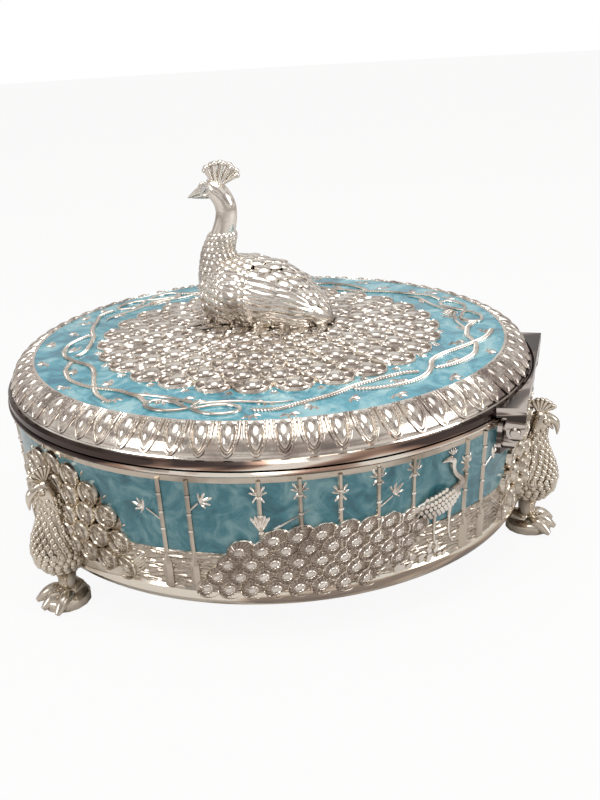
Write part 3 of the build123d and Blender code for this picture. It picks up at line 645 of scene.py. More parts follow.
body_places, bird_routes, rock_places, quill_places = [], [], [], []
rock_draw = random.Random(9)
for sector in sector_angles.values():
    centre_x, centre_y = drum_place(sector, 20.6, 43.2)
    for ring in range(5):
        for spot in range(12 - ring):
            along = (spot + 0.5 * (ring % 2)) / 11.0 * 2 - 1
            across = (ring - 2) / 2.6
            if along**2 + across**2 > 1.05:
                continue
            x = centre_x + along * 0.0088 + across * -0.0012
            y = centre_y + across * 0.0046 + along * 0.0022
            lift = 0.0021 * math.sqrt(max(0.0, 1.1 - along**2 - across**2))
            body_places.append(at(x, y, 0.0006 + lift, 0.5, 0.00095, 0.00095, 0.0009))
    # The bird from its rump over its neck to its beak
    bird_routes.append(drum_route(
        sector, (14.0, 42.0, 0.0002, 0.0008), (18.0, 42.6, 0.0003, 0.0020), (22.0, 44.0, 0.0003, 0.0023),
        (25.6, 45.8, 0.0005, 0.0015), (26.2, 48.4, 0.0006, 0.0012), (24.0, 51.5, 0.0006, 0.0010),
        (23.3, 55.0, 0.0007, 0.0010), (23.4, 57.6, 0.0008, 0.0014), (22.0, 58.4, 0.0007, 0.0009),
        (20.8, 57.6, 0.0004, 0.0002),
    ))
    for leg in (19.6, 23.4):
        bird_routes.append(drum_route(
            sector, (leg, 40.0, 0.0004, 0.0009), (leg - 0.3, 33.0, 0.0004, 0.0005),
            (leg + 0.2, 25.5, 0.0004, 0.0005), (leg + 1.4, 24.0, 0.0002, 0.0005),
        ))
    for spread in (-0.9, -0.45, 0.0, 0.45, 0.9):
        crest_place = drum_place(sector, 23.4, 59.0)
        quill_places.append(at(*crest_place, 0.0004, spread - 0.1, 0.0014, 0.00155, 0.0012))
    for _ in range(26):
        spot = rock_draw.uniform(11.0, 24.0)
        rise = 20.5 + rock_draw.random() * max(1.5, 7.5 - abs(spot - 19.0) * 0.9)
        size = rock_draw.uniform(0.0009, 0.0017)
        turn = rock_draw.uniform(0, 3)
        rock_places.append(at(*drum_place(sector, spot, rise), 0.0004, turn, size, size * 0.8, size * 0.8))
    # Bud at the foot of a stem, with the long feather that trails past it
    for spread in (-0.55, -0.28, 0.0, 0.28, 0.55):
        quill_places.append(at(*drum_place(sector, -14.6, 43.5), 0.0005, spread, 0.0032, 0.0034, 0.0022))
    bird_routes.append(drum_route(
        sector, (-13.5, 42.5, 0.0002, 0.0005), (-9.0, 47.5, 0.0002, 0.0003), (-5.5, 50.5, 0.0001, 0.0001)
    ))
relief = join(
    "peacock_relief",
    clean(tails, 0.000001),
    strands("relief_birds", bird_routes, sides=2, bend=on_drum),
    copies("relief_beads", small_bead, body_places, on_drum),
    copies("relief_rocks", small_bead, rock_places, on_drum),
    copies("relief_quills", leaf, quill_places, on_drum),
)
finish_piece(relief, cast_silver, "root", 40)

# Feet: three standing peacocks, each cast in one piece with the tail fan that lies on the drum
# and fixed by screws from inside. They replace the plain castings of the frame.
def grown(name, sections, sides):
    """Body drawn from ring to ring: each section is centre, half depth along X, half width along Y."""
    centre, depth, width = sections[0]
    body = fresh(
        name, bpy.ops.mesh.primitive_circle_add, (depth, width, 1),
        vertices=sides, radius=1.0, fill_type="NGON", location=centre,
    )
    open_mesh(body)
    last, last_depth, last_width = Vector(centre), depth, width
    for centre, depth, width in sections[1:]:
        centre = Vector(centre)
        bpy.ops.mesh.extrude_region_move(TRANSFORM_OT_translate={"value": centre - last})
        bpy.ops.transform.resize(
            value=(depth / last_depth, width / last_width, 1), center_override=centre
        )
        last, last_depth, last_width = centre, depth, width
    close_mesh()
    clean(body, 0.000001)
    soft = body.modifiers.new("soft", "SUBSURF")
    soft.levels = soft.render_levels = 1
    bpy.ops.object.modifier_apply(modifier="soft")
    return body


def skin(sections, rise, turn, out=0.0):
    """Point on a grown body, with its outward direction and the direction up along it."""
    rise = min(max(rise, 0.0), len(sections) - 1.001)
    index = int(rise)
    share = rise - index
    low, high = sections[index], sections[index + 1]
    centre = Vector(low[0]).lerp(Vector(high[0]), share)
    depth = low[1] + (high[1] - low[1]) * share
    width = low[2] + (high[2] - low[2]) * share
    point = centre + Vector((depth * math.cos(turn), width * math.sin(turn), 0))
    across = Vector((-depth * math.sin(turn), width * math.cos(turn), 0)).normalized()
    spread = Vector((
        (high[1] - low[1]) * math.cos(turn), (high[2] - low[2]) * math.sin(turn), 0,
    ))
    up = (Vector(high[0]) - Vector(low[0]) + spread).normalized()
    outward = across.cross(up).normalized()
    return point + outward * out, outward, up


def seated(point, outward, tip, sx, sy, sz, lift=0.0):
    """Place of a pattern that lies on a surface, its tip along the given direction."""
    tip = (tip - outward * tip.dot(outward)).normalized()
    tip = (tip + outward * lift).normalized()
    side = tip.cross(outward).normalized()
    rise = side.cross(tip)
    turned = Matrix((
        (side.x, tip.x, rise.x, point.x),
        (side.y, tip.y, rise.y, point.y),
        (side.z, tip.z, rise.z, point.z),
        (0, 0, 0, 1),
    ))
    return turned @ Matrix.Diagonal((sx, sy, sz, 1))


def around(sections, row, rise, count):
    """Points for a row of scales round a grown body, every other row set off by half a step."""
    for spot in range(count):
        yield skin(sections, rise, 2 * math.pi * (spot + 0.5 * (row % 2)) / count, 0.0001)


def facing(point, turn, axis, *sizes):
    """Place of a pattern turned about one axis and sized along each side."""
    return Matrix.Translation(point) @ Matrix.Rotation(turn, 4, axis) @ Matrix.Diagonal((*sizes, 1))


def in_mm(*points):
    """Route whose points are given in mm."""
    return [tuple(value * mm for value in point) for point in points]


scale_pattern = fresh(
    "scale_pattern", bpy.ops.mesh.primitive_cylinder_add,
    vertices=9, radius=1.0, depth=0.3, end_fill_type="NGON", location=(0, 0, 0),
)
open_mesh(scale_pattern, is_top)
bpy.ops.mesh.inset(thickness=0.16, depth=0.22)
bpy.ops.mesh.inset(thickness=0.42, depth=0.20)
close_mesh()

foot_line = (
    ((108.6, 0, 5.0), 3.6, 3.8), ((108.2, 0, 9.0), 3.3, 3.4), ((108.4, 0, 12.6), 3.6, 3.8),
    ((109.2, 0, 15.4), 6.0, 5.8), ((110.2, 0, 19.5), 8.6, 8.2), ((110.8, 0, 24.5), 9.2, 9.0),
    ((110.9, 0, 29.5), 8.2, 8.2), ((110.7, 0, 34.0), 6.7, 6.5), ((110.7, 0, 38.5), 5.2, 5.0),
    ((111.2, 0, 42.5), 4.3, 4.1), ((112.0, 0, 46.0), 4.3, 3.8), ((112.9, 0, 48.8), 4.5, 3.5),
    ((113.0, 0, 51.2), 3.2, 2.5), ((112.9, 0, 52.2), 1.4, 1.1),
)
foot_sections = [
    (tuple(value * mm for value in centre), depth * mm, width * mm) for centre, depth, width in foot_line
]
foot_body = grown("foot_bird", foot_sections, 18)
foot_scales = []
for row in range(16):
    rise = 3.2 + row * 0.43
    ring_size = skin(foot_sections, rise, 0.0)[0].x - skin(foot_sections, rise, math.pi)[0].x
    count = max(9, round(ring_size * 1000 * math.pi / 2.9))
    size = (1.28 - 0.03 * row) * mm
    for point, outward, up in around(foot_sections, row, rise, count):
        foot_scales.append(seated(point, outward, -up, size, size * 1.2, size * 1.25, 0.22))
foot_beads = copies("foot_scales", scale_pattern, foot_scales)

# Beak, crest, eyes and claws of a foot's bird
foot_beak = strands("foot_beak", [
    in_mm((115.0, 0, 49.8, 2.2), (118.2, 0, 49.0, 1.9), (119.8, 0, 46.0, 1.2), (119.6, 0, 42.4, 0.25)),
    in_mm((114.6, 0, 47.6, 1.7), (116.8, 0, 46.6, 1.2), (118.0, 0, 44.6, 0.4)),
], sides=2)
crest_routes = []
for index in range(6):
    lean = math.radians(122 - 17 * index)
    tip_x, tip_z = 113.2 + 9.2 * math.cos(lean) * 0.72, 50.2 + 7.0 * math.sin(lean)
    crest_routes.append(in_mm(
        (112.6, 0, 50.6, 0.9), ((112.9 + tip_x) / 2, 0, (51.5 + tip_z) / 2, 1.05),
        (tip_x, 0, tip_z, 1.35), (tip_x + 0.3 * math.cos(lean), 0, tip_z + 0.3, 0.7),
    ))
foot_crest = strands("foot_crest", crest_routes, sides=2)
eye_ring = fresh(
    "eye_ring_pattern", bpy.ops.mesh.primitive_torus_add,
    major_radius=1.0, minor_radius=0.26, major_segments=18, minor_segments=6,
)
open_mesh(eye_ring)
bpy.ops.transform.resize(value=(1.35, 1, 0.8))
close_mesh()
eye_places, ball_places = [], []
for side in (-1, 1):
    eye_place = (115.0 * mm, side * 3.0 * mm, 48.6 * mm)
    for places, sizes in ((eye_places, (1.25, 1.25, 1.4)), (ball_places, (0.95, 0.75, 0.9))):
        places.append(facing(eye_place, -side * math.pi / 2, "X", *(size * mm for size in sizes)))
foot_eyes = copies("foot_eyes", eye_ring, eye_places)
foot_balls = copies("foot_eyeballs", bead, ball_places)
# A toe by the reach, height and half thickness of its joints in mm
toe_line = (
    (0.0, 5.2, 3.2), (4.0, 4.8, 2.9), (6.2, 3.6, 2.4), (8.6, 5.0, 2.8), (11.6, 4.3, 2.6),
    (14.4, 2.6, 1.8), (16.2, 1.5, 0.9),
)
toe_routes = []
for spread in (-27, 0, 27):
    turn = math.radians(spread)
    toe_routes.append(in_mm(*(
        (103.6 + reach * math.cos(turn), reach * math.sin(turn), height, size)
        for reach, height, size in toe_line
    )))
toe_routes.append(in_mm((106.5, 0, 4.5, 3.2), (103.4, 0, 4.6, 3.0), (101.4, 0, 2.6, 1.6)))
foot_toes = strands("foot_toes", toe_routes, sides=2)
rock = fresh(
    "foot_rock", bpy.ops.mesh.primitive_cylinder_add, (1.12, 0.98, 1),
    vertices=14, radius=8.2 * mm, depth=3.4 * mm, end_fill_type="NGON", location=(109.0 * mm, 0, 1.75 * mm),
)
open_mesh(rock, is_top)
bpy.ops.mesh.inset(thickness=1.6 * mm, depth=1.2 * mm)
bpy.ops.mesh.inset(thickness=1.8 * mm, depth=0.5 * mm)
bpy.ops.mesh.select_all(action="SELECT")
bpy.ops.mesh.bevel(offset=0.35 * mm, segments=1, affect="EDGES")
close_mesh()

# Tail fan of a foot: three rows of eye feathers spread on the drum, small spikes between their
# ends, and long plain feathers that sweep out of its lower edge over the water
fan_places, spike_places, sweep_routes = [], [], []
fan_centre_height = 24.5
spike_reach = 36.4
# Each row: its reach, how many feathers, their first and last angle, their size and stand-out
for row, (reach, count, first, last, size, out) in enumerate((
    (32.0, 11, -2, 182, 5.3, 0.0009), (24.0, 9, 2, 178, 5.0, 0.0017), (16.0, 7, 8, 172, 4.6, 0.0026),
    (9.0, 5, 20, 160, 4.2, 0.0034),
)):
    for spot in range(count):
        turn = math.radians(first + (last - first) * spot / (count - 1))
        x, y = reach * math.cos(turn) * mm, (fan_centre_height + reach * math.sin(turn)) * mm
        fan_places.append(leaning(
            x, y, out, turn - math.pi / 2, 0.12, size * 0.92 * mm, size * 1.05 * mm, size * 0.95 * mm
        ))
        if row == 0 and spot < count - 1:
            middle = turn + math.radians((last - first) / (count - 1) / 2)
            x = spike_reach * math.cos(middle) * mm
            y = (fan_centre_height + spike_reach * math.sin(middle)) * mm
            spike_places.append(at(x, y, 0.0003, middle - math.pi / 2, 1.6 * mm, 1.3 * mm, 1.6 * mm))
for side in (-1, 1):
    for line in range(7):
        drop = line * 1.75
        sweep_routes.append([
            (side * 5.0 * mm, (24.0 - drop * 0.55) * mm, 0.0009, 0.8 * mm),
            (side * (18.0 + line) * mm, (20.4 - drop * 0.12) * mm, 0.0005, 1.15 * mm),
            (side * (31.0 + line * 0.8) * mm, (22.4 - drop * 0.1) * mm, 0.0003, 1.05 * mm),
            (side * (41.0 - line * 0.6) * mm, (30.5 - drop * 0.95) * mm, 0.0002, 0.6 * mm),
            (side * (45.0 - line * 1.1) * mm, (34.6 - drop * 1.35) * mm, 0.0001, 0.25 * mm),
        ])
fan = join(
    "foot_fan",
    copies("fan_feathers", small_feather, fan_places),
    copies("fan_spikes", leaf, spike_places),
    strands("fan_sweeps", sweep_routes, sides=2),
)
fan_points = np.array([corner.co for corner in fan.data.vertices])
fan.data.vertices.foreach_set("co", on_drum(fan_points).ravel())
foot_model = join(
    "foot_model", foot_body, foot_beads, foot_beak, foot_crest, foot_eyes, foot_balls, foot_toes, rock, fan,
)
foot_lowest = min(corner.co.z for corner in foot_model.data.vertices)
foot_model.data.transform(Matrix.Translation((0, 0, -min(0.0, foot_lowest))))
foot_silver = plated("foot_silver", (0.74, 0.675, 0.58), (0.24, 0.19, 0.14), 0.80, 0.15, 0.36, 0.20)
foot_angles = {"back": 90.0, "left": 210.0, "right": 330.0}
for foot_name, foot_angle in foot_angles.items():
    foot = copies("peacock_foot_" + foot_name, foot_model, [Matrix.Rotation(math.radians(foot_angle), 4, "Z")])
    finish_piece(foot, foot_silver, "root", 45)
    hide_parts("foot_" + foot_name)
bpy.data.objects.remove(foot_model)

# Hinge: a pressed bracket with an ear at each end, pinned to two lugs on the drum by rivets,
# all plated darker and mirror bright.
# Painted reflections: the hinge's chrome carries the same dark and pale bands, shorter and darker.
hinge_chrome = buffed("hinge_chrome", (0.060, 0.050, 0.045), (0.20, 0.16, 0.14), (0.62, 0.57, 0.53), 30.0, 0.52)
dress(hinge_chrome, "hinge_bracket", "hinge_lug_left", "hinge_lug_right", "hinge_pins")
pins_low, pins_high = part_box("hinge_pins")
pin_place = (pins_low + pins_high) / 2
rivet_places = []
for side in (-1, 1):
    rivet_place = (side * (pins_high.x - 0.0003), pin_place.y, pin_place.z)
    rivet_places.append(facing(rivet_place, math.pi / 2, "Y", 0.00105, 0.00145, 0.0016))
rivet_rings = copies("rivet_rings", eye_ring, rivet_places)
finish_piece(rivet_rings, hinge_chrome, "root", 40)

# Inside: the floor plate and lid cover are pressed plate with a satin face, and the tray with
# its cross divider is moulded plastic.
inner_satin = plated("inner_satin", (0.74, 0.71, 0.66), (0.50, 0.46, 0.41), 0.30, 0.26, 0.36, 0.20, 500.0)
dress(
    inner_satin, "floor_plate", "lid_inner_cover", "foot_screws", "lug_screws", "finial_screws",
    "bracket_screws",
)
tray_plastic, tray_tree, tray_shader = new_finish("tray_plastic")
tray_place = node(tray_tree, "TexCoord").outputs["Object"]
tray_cloud = node(tray_tree, "TexNoise", {"Vector": tray_place, "Scale": 26.0})
tray_grain = node(tray_tree, "TexNoise", {"Vector": tray_place, "Scale": 1400.0})
fill(tray_shader, {
    "Base Color": ramp(tray_tree, tray_cloud, (0.0, 0.70, 0.69, 0.66), (1.0, 0.80, 0.79, 0.77)),
    "Roughness": 0.42,
    "Normal": node(tray_tree, "Bump", {"Strength": 0.15, "Distance": 0.0001, "Height": tray_grain}),
})
dress(tray_plastic, "liner_tray", "tray_divider")

# Lid: a casting whose sloping edge carries a row of seventy egg shapes, each in a double rim
# with beads in its inner line. The band under it is a plain polished ring.
dress(cast_silver, "lid_shell")
dress(polished, "lid_band")
shell_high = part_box("lid_shell")[1]
band_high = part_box("lid_band")[1]
edge_radius = 0.0992
edge_height = shell_high.z
slope_top = np.array((edge_radius - 0.0004, edge_height))
slope_bend = np.array((0.1061, 0.0771))
slope_foot = np.array((shell_high.x + 0.0001, band_high.z))
slope_radius = 0.1045
slope_length = 0.0143


def on_slope(points):
    """Carries (length round the lid, length down the slope, stand-out) on to the lid's sloping edge."""
    share = (points[:, 1] / slope_length)[:, None]
    place = (1 - share) ** 2 * slope_top + 2 * share * (1 - share) * slope_bend + share**2 * slope_foot
    along = 2 * (1 - share) * (slope_bend - slope_top) + 2 * share * (slope_foot - slope_bend)
    along /= np.linalg.norm(along, axis=1)[:, None]
    radius = place[:, 0] - along[:, 1] * points[:, 2]
    height = place[:, 1] + along[:, 0] * points[:, 2]
    angle = -points[:, 0] / slope_radius
    return np.column_stack((radius * np.cos(angle), radius * np.sin(angle), height))


def close_ring(piece):
    """Merges the seam of a relief ring and closes its back between the two edges."""
    choose(piece)
    bpy.ops.object.mode_set(mode="EDIT")
    bpy.ops.mesh.select_mode(type="EDGE")
    bpy.ops.mesh.select_all(action="SELECT")
    bpy.ops.mesh.remove_doubles(threshold=0.00001)
    bpy.ops.mesh.select_all(action="DESELECT")
    bpy.ops.mesh.select_non_manifold()
    bpy.ops.mesh.bridge_edge_loops()
    bpy.ops.mesh.select_all(action="SELECT")
    bpy.ops.mesh.normals_make_consistent(inside=False)
    close_mesh()


slope_ring = fresh(
    "lid_slope", bpy.ops.mesh.primitive_grid_add, x_subdivisions=280, y_subdivisions=12, size=1.0
)
slope_points = np.array([corner.co for corner in slope_ring.data.vertices])
slope_down = slope_points[:, 1] + 0.5
slope_out = np.full(len(slope_points), 0.00012)
slope_out[(slope_down < 0.001) | (slope_down > 0.999)] = -0.0006
slope_layout = np.column_stack((
    (slope_points[:, 0] + 0.5) * 2 * math.pi * slope_radius, slope_down * slope_length, slope_out,
))
slope_ring.data.vertices.foreach_set("co", on_slope(slope_layout).ravel())
close_ring(slope_ring)

egg_count = 70
egg_pitch = 2 * math.pi * slope_radius / egg_count
egg = fresh(
    "egg_pattern", bpy.ops.mesh.primitive_uv_sphere_add,
    segments=16, ring_count=12, radius=1.0, rotation=(math.pi / 2, 0, 0),
)
open_mesh(egg)
bpy.ops.mesh.bisect(plane_co=(0, 0, -0.05), plane_no=(0, 0, 1), use_fill=True, clear_inner=True)
close_mesh()
for corner in egg.data.vertices:
    down = (corner.co.y + 1) / 2
    corner.co.x *= 1.12 - 0.42 * down**2
    corner.co.y = -1 + 2 * down
egg_places = [
    at(egg_pitch * index, 0.0058, 0.0, 0.0, 0.00262, 0.0056, 0.00175) for index in range(egg_count)
]
rim_routes = []
for index in range(egg_count):
    x = egg_pitch * index
    for half, tip, out, size in ((0.00315, 0.01205, 0.00025, 0.00042), (0.00405, 0.01330, 0.00035, 0.00052)):
        rim_routes.append([
            (x + half * across, down, out, size * swell)
            for across, down, swell in (
                (-0.98, 0.0003, 1), (-1.02, 0.0042, 1), (-0.86, 0.0080, 1), (-0.40, tip - 0.0012, 1),
                (0.0, tip, 1.1), (0.40, tip - 0.0012, 1), (0.86, 0.0080, 1), (1.02, 0.0042, 1),
                (0.98, 0.0003, 1),
            )
        ])
rim_beads = []
for index in range(egg_count):
    for side in (-1, 1):
        for spot in range(7):
            share = spot / 7
            x = egg_pitch * index + side * 0.00315 * (1.0 - 0.55 * max(0.0, share - 0.55) ** 1.2 * 2)
            rim_beads.append(at(x, 0.0012 + share * 0.0100, 0.00055, 0.0, 0.00034, 0.00048, 0.00034))
egg_ring = join(
    "lid_eggs",
    slope_ring,
    copies("eggs", egg, egg_places, on_slope),
    strands("egg_rims", rim_routes, sides=1, steps=3, bend=on_slope),
    copies("egg_beads", small_bead, rim_beads, on_slope),
)
clean(egg_ring, 0.000001)
edge_silver = plated("edge_silver", (0.76, 0.70, 0.63), (0.20, 0.14, 0.13), 0.95, 0.10, 0.30, 0.15)
finish_piece(egg_ring, edge_silver, "lid", 50)

# Lid enamel: a lighter turquoise than the drum's, poured on the flat bed round the feathers.
lid_blue = enamel("lid_enamel", (0.004, 0.22, 0.33), (0.045, 0.43, 0.57), (0.36, 0.72, 0.80), 46.0, 0.07, 0.66)
dress(lid_blue, "lid_enamel")
lid_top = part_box("lid_enamel")[1].z


# Scrolls: three bows of cast wire lie in the lid's enamel, with leaf sprays and long twisted
# stems that wave between them round the edge.
def polar(angle, radius):
    """Point of the lid from its angle in degrees and its radius in mm."""
    turn = math.radians(angle)
    return radius * mm * math.cos(turn), radius * mm * math.sin(turn)


def smooth_route(route, step):
    """Evenly spaced angles and radii along a given route on the lid."""
    points = np.array(route, float)
    knots = np.concatenate(([0.0], np.cumsum(np.linalg.norm(np.diff(points * (1.4, 1.0), axis=0), axis=1))))
    fine = np.linspace(0, knots[-1], 400)
    angles = np.interp(fine, knots, points[:, 0])
    radii = np.interp(fine, knots, points[:, 1])
    blur_width = 41
    blur = np.ones(blur_width) / blur_width
    angles = np.convolve(np.pad(angles, blur_width // 2, mode="edge"), blur, "valid")
    radii = np.convolve(np.pad(radii, blur_width // 2, mode="edge"), blur, "valid")
    places = np.column_stack((radii * np.cos(np.radians(angles)), radii * np.sin(np.radians(angles)))) * mm
    travel = np.concatenate(([0.0], np.cumsum(np.linalg.norm(np.diff(places, axis=0), axis=1))))
    wanted = np.arange(0, travel[-1], step)
    return np.column_stack((np.interp(wanted, travel, places[:, 0]), np.interp(wanted, travel, places[:, 1])))


rope_routes = (
    ((14, 89), (20, 90), (25, 85.5), (33, 82), (42, 76.5), (51, 76), (58, 77.5), (62, 82)),
    ((40, 79), (46, 84), (53, 86.5), (60, 86), (66, 82), (71, 77.5), (78, 78.5), (86, 84), (94, 91), (102, 94)),
    ((66, 84), (72, 88), (80, 90), (88, 88), (96, 83), (104, 84), (109, 89)),
)
# Half of each bow by its angles in degrees, its radii in mm and the wire's share of full thickness
bow_lines = (
    (
        (0.4, 89.5, 0.5), (3.0, 86.0, 0.6), (7.5, 83.6, 0.65), (11.5, 86.0, 0.6), (11.5, 91.0, 0.6),
        (7.0, 93.6, 0.6), (2.5, 92.0, 0.6), (0.4, 89.0, 0.5),
    ),
    ((1.0, 84.0, 0.4), (7.0, 80.6, 0.55), (14.0, 81.6, 0.5), (20.0, 84.0, 0.4), (24.0, 82.0, 0.2)),
)
rope_places, spray_points, bow_routes = [], [], []
for third in (0, 120, 240):
    for route in rope_routes:
        line = smooth_route([(angle + third, radius) for angle, radius in route], 0.00125)
        for index in range(len(line) - 1):
            run = line[index + 1] - line[index]
            heading = math.atan2(run[1], run[0])
            rope_places.append(at(*line[index], lid_top + 0.00030, heading + 0.75, 0.00072, 0.00140, 0.00100))
    for side in (-1, 1):
        for bow in bow_lines:
            bow_routes.append([
                (*polar(third + angle * side, radius), lid_top + 0.0003, size * 1.4 * mm)
                for angle, radius, size in bow
            ])
    for angle, radius, lean, size in (
        (-5.0, 79.5, 0.9, 2.6), (14.0, 93.0, 0.4, 2.2), (17.5, 80.5, -0.6, 2.4), (-17.5, 80.5, 0.6, 2.4),
        (22.0, 93.0, 0.3, 2.4), (28.0, 88.5, -0.9, 2.2), (37.0, 86.5, 0.8, 2.2), (47.0, 91.5, 0.2, 2.6),
        (54.0, 80.8, -0.7, 2.4), (63.0, 93.0, 0.4, 2.6), (74.0, 83.6, -0.3, 2.4), (83.0, 93.5, 0.5, 2.2),
        (90.0, 79.0, -0.8, 2.6), (99.0, 90.0, 0.8, 2.4), (111.0, 83.0, 0.2, 2.6),
    ):
        x, y = polar(third + angle, radius)
        for spread in (-1.1, -0.35, 0.35, 1.1):
            heading = math.radians(third + angle) - math.pi / 2 + lean + spread
            spray_points.append(at(x, y, lid_top + 0.0001, heading, size * 1.3 * mm, size * 1.15 * mm, 1.9 * mm))
    for spot in range(7):
        x, y = polar(third - 1.2 + spot * 0.4, 87.0 - abs(spot - 3) * 0.3)
        heading = math.radians(third) - math.pi / 2 + math.pi + (spot - 3) * 0.34
        spray_points.append(at(x, y, lid_top + 0.0003, heading, 2.4 * mm, 4.6 * mm, 2.8 * mm))
scroll = join(
    "lid_scrolls",
    copies("lid_ropes", small_bead, rope_places),
    copies("lid_sprays", leaf, spray_points),
    strands("lid_bows", bow_routes, sides=2),
)
finish_piece(scroll, cast_silver, "lid", 50)

# Feather disc: one casting of overlapping eye feathers in rows, each row lying on the one
# outside it, with three small barbs between the ends of the outer row.
disc_steps = (
    (0.045, 0.09), (0.03, 0.0), (0.035, -0.09), (0.37, 0.05), (0.035, 0.05), (0.03, -0.01), (0.03, -0.03),
    (0.09, 0.09), (0.10, 0.035), (0.09, 0.01),
)
disc_feather = eye_feather("disc_feather", 28, disc_steps, 3, 0.034, 0.10)
disc_rows = (
    (63.8, 27, 8.3, 0.0009), (55.4, 24, 8.3, 0.0019), (47.0, 21, 8.2, 0.0029), (38.6, 17, 8.2, 0.0038),
    (30.2, 14, 7.8, 0.0046), (21.8, 11, 7.4, 0.0053), (13.4, 8, 7.2, 0.0058),
)
disc_draw = random.Random(12)
disc_places, prong_places = [], []
for row, (reach, count, size, rise) in enumerate(disc_rows):
    for spot in range(count):
        turn = 2 * math.pi * (spot + 0.5 * (row % 2)) / count + disc_draw.uniform(-0.012, 0.012)
        x, y = reach * mm * math.cos(turn), reach * mm * math.sin(turn)
        heading = turn - math.pi / 2 + disc_draw.uniform(-0.06, 0.06)
        tilt = -0.035 + disc_draw.uniform(-0.01, 0.01)
        disc_places.append(leaning(
            x, y, lid_top + rise, heading, tilt, size * 0.94 * mm, size * 1.12 * mm, size * 0.95 * mm
        ))
        if row == 0:
            middle = turn + math.pi / count
            for spread in (-0.34, 0.0, 0.34):
                reach_out = (69.5 + (0 if spread else 0.6)) * mm
                x, y = reach_out * math.cos(middle), reach_out * math.sin(middle)
                prong_places.append(at(x, y, lid_top, middle - math.pi / 2 + spread, 2.0 * mm, 2.7 * mm, 2.2 * mm))
plate = fresh(
    "disc_plate", bpy.ops.mesh.primitive_cylinder_add,
    vertices=64, radius=0.0675, depth=0.0016, end_fill_type="NGON", location=(0, 0, lid_top - 0.0009),
)
open_mesh(plate, is_top)
bpy.ops.mesh.inset(thickness=0.030, depth=0.0019)
bpy.ops.mesh.inset(thickness=0.030, depth=0.0017)
close_mesh()
disc = join(
    "disc_feathers",
    plate,
    copies("disc_rows", disc_feather, disc_places),
    copies("disc_prongs", leaf, prong_places),
)
finish_piece(disc, cast_silver, "lid", 40)
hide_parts("feather_disc")

# Bird on the lid: a hollow casting screwed on from inside the lid. Its head and upper neck are
# smooth, scales grow down its neck and over its breast and back, and long quills lie on its wings.
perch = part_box("peacock_finial")[0].z
neck_line = (
    (6.0, -15.6, 11.0, 11.2), (14.4, -17.0, 10.6, 11.0), (21.9, -19.4, 8.5, 8.5), (30.4, -20.3, 6.2, 6.1),
    (37.4, -17.7, 5.0, 5.4), (44.4, -15.3, 4.3, 4.6), (49.6, -15.2, 4.2, 4.4), (53.2, -17.2, 4.5, 5.4),
    (56.4, -19.4, 4.5, 5.7), (59.2, -20.6, 3.6, 4.2), (60.6, -21.0, 1.6, 1.9),
)
neck_sections = [
    ((0, place * mm, perch + height * mm), half_width * mm, half_depth * mm)
    for height, place, half_width, half_depth in neck_line
]
neck = grown("finial_neck", neck_sections, 20)
body_line = (
    (-27.6, 13.9, 4.0, 5.4), (-24.6, 13.2, 10.0, 11.8), (-17.0, 12.9, 14.6, 14.4), (-6.0, 12.7, 16.8, 14.6),
    (5.6, 11.0, 16.2, 14.3), (15.0, 8.4, 13.4, 12.0), (22.0, 5.4, 9.6, 8.6), (29.4, 1.9, 3.4, 2.6),
)
body_sections = [
    ((perch + height * mm, 0, place * mm), half_height * mm, half_width * mm)
    for place, height, half_width, half_height in body_line
]
laid = Matrix(((0, 1, 0, 0), (0, 0, 1, 0), (1, 0, 0, 0), (0, 0, 0, 1)))
trunk = grown("finial_trunk", body_sections, 22)
trunk.data.transform(laid)

body_scales = []
for row in range(12):
    rise = 3.92 - row * 0.335
    size = (1.70 + 0.085 * row) * mm
    girth = 2 * math.pi * abs(skin(neck_sections, rise, 0.0)[0].x)
    count = max(8, round(girth / (size * 1.5)))
    for point, outward, up in around(neck_sections, row, rise, count):
        body_scales.append(seated(point, outward, -up, size, size * 1.25, size * 0.95, 0.22))
for row in range(11):
    rise = 0.45 + row * 0.25 + 0.30 * (row < 2)
    size = (2.35 + 0.05 * row) * mm
    count = max(9, round(2 * math.pi * abs(skin(body_sections, rise, math.pi / 2)[0].y) / (size * 1.55)))
    for point, outward, up in around(body_sections, row, rise, count):
        if point.x > perch + 1.0 * mm:
            body_scales.append(laid @ seated(point, outward, up, size, size * 1.25, size * 0.9, 0.18))
for row in range(11):
    rise = 2.95 + row * 0.34
    size = (3.2 - 0.10 * row) * mm
    for lean in (-45, -15, 15, 45) if row % 2 else (-30, 0, 30):
        point, outward, up = skin(body_sections, rise, math.radians(lean), 0.0001)
        body_scales.append(laid @ seated(point, outward, up, size, size * 1.35, size * 0.7, 0.14))
scales = copies("finial_scales", scale_pattern, body_scales)


def on_trunk(points):
    """Carries (angle from the top of the back, rise along the body, stand-out) on to the bird's body."""
    places = [skin(body_sections, rise, turn, out)[0] for turn, rise, out in points]
    return np.array([(place.y, place.z, place.x) for place in places])


quills = []
quill_gap = 11.5
# Each row of quills: how many, the rise and angle of its first root and tip, and half width and stand-out
for count, root_rise, root_angle, tip_rise, tip_angle, half_width, out in (
    (9, 3.1, 52, 6.9, 40, 0.20, 0.35),
    (8, 2.7, 50, 4.9, 52, 0.22, 1.1),
    (8, 2.1, 46, 3.7, 50, 0.25, 1.7),
):
    for index in range(count):
        root = np.array((
            math.radians(root_angle + quill_gap * index), root_rise + 0.06 * index, (out + 0.08 * index) * mm
        ))
        tip = np.array((
            math.radians(tip_angle + quill_gap * index), tip_rise - 0.14 * index,
            (out * 0.4 + 0.05 * index) * mm,
        ))
        run = (tip - root) / 2
        start = root + 0.1 * run
        for side in (-1, 1):
            quills.append(Matrix((
                (half_width / leaf_half_width, side * run[0], 0, side * start[0]),
                (0, run[1], 0, start[1]),
                (0, run[2], 3.4 * mm, start[2]),
                (0, 0, 0, 1),
            )))
wing_quills = copies("finial_quills", leaf, quills, on_trunk)
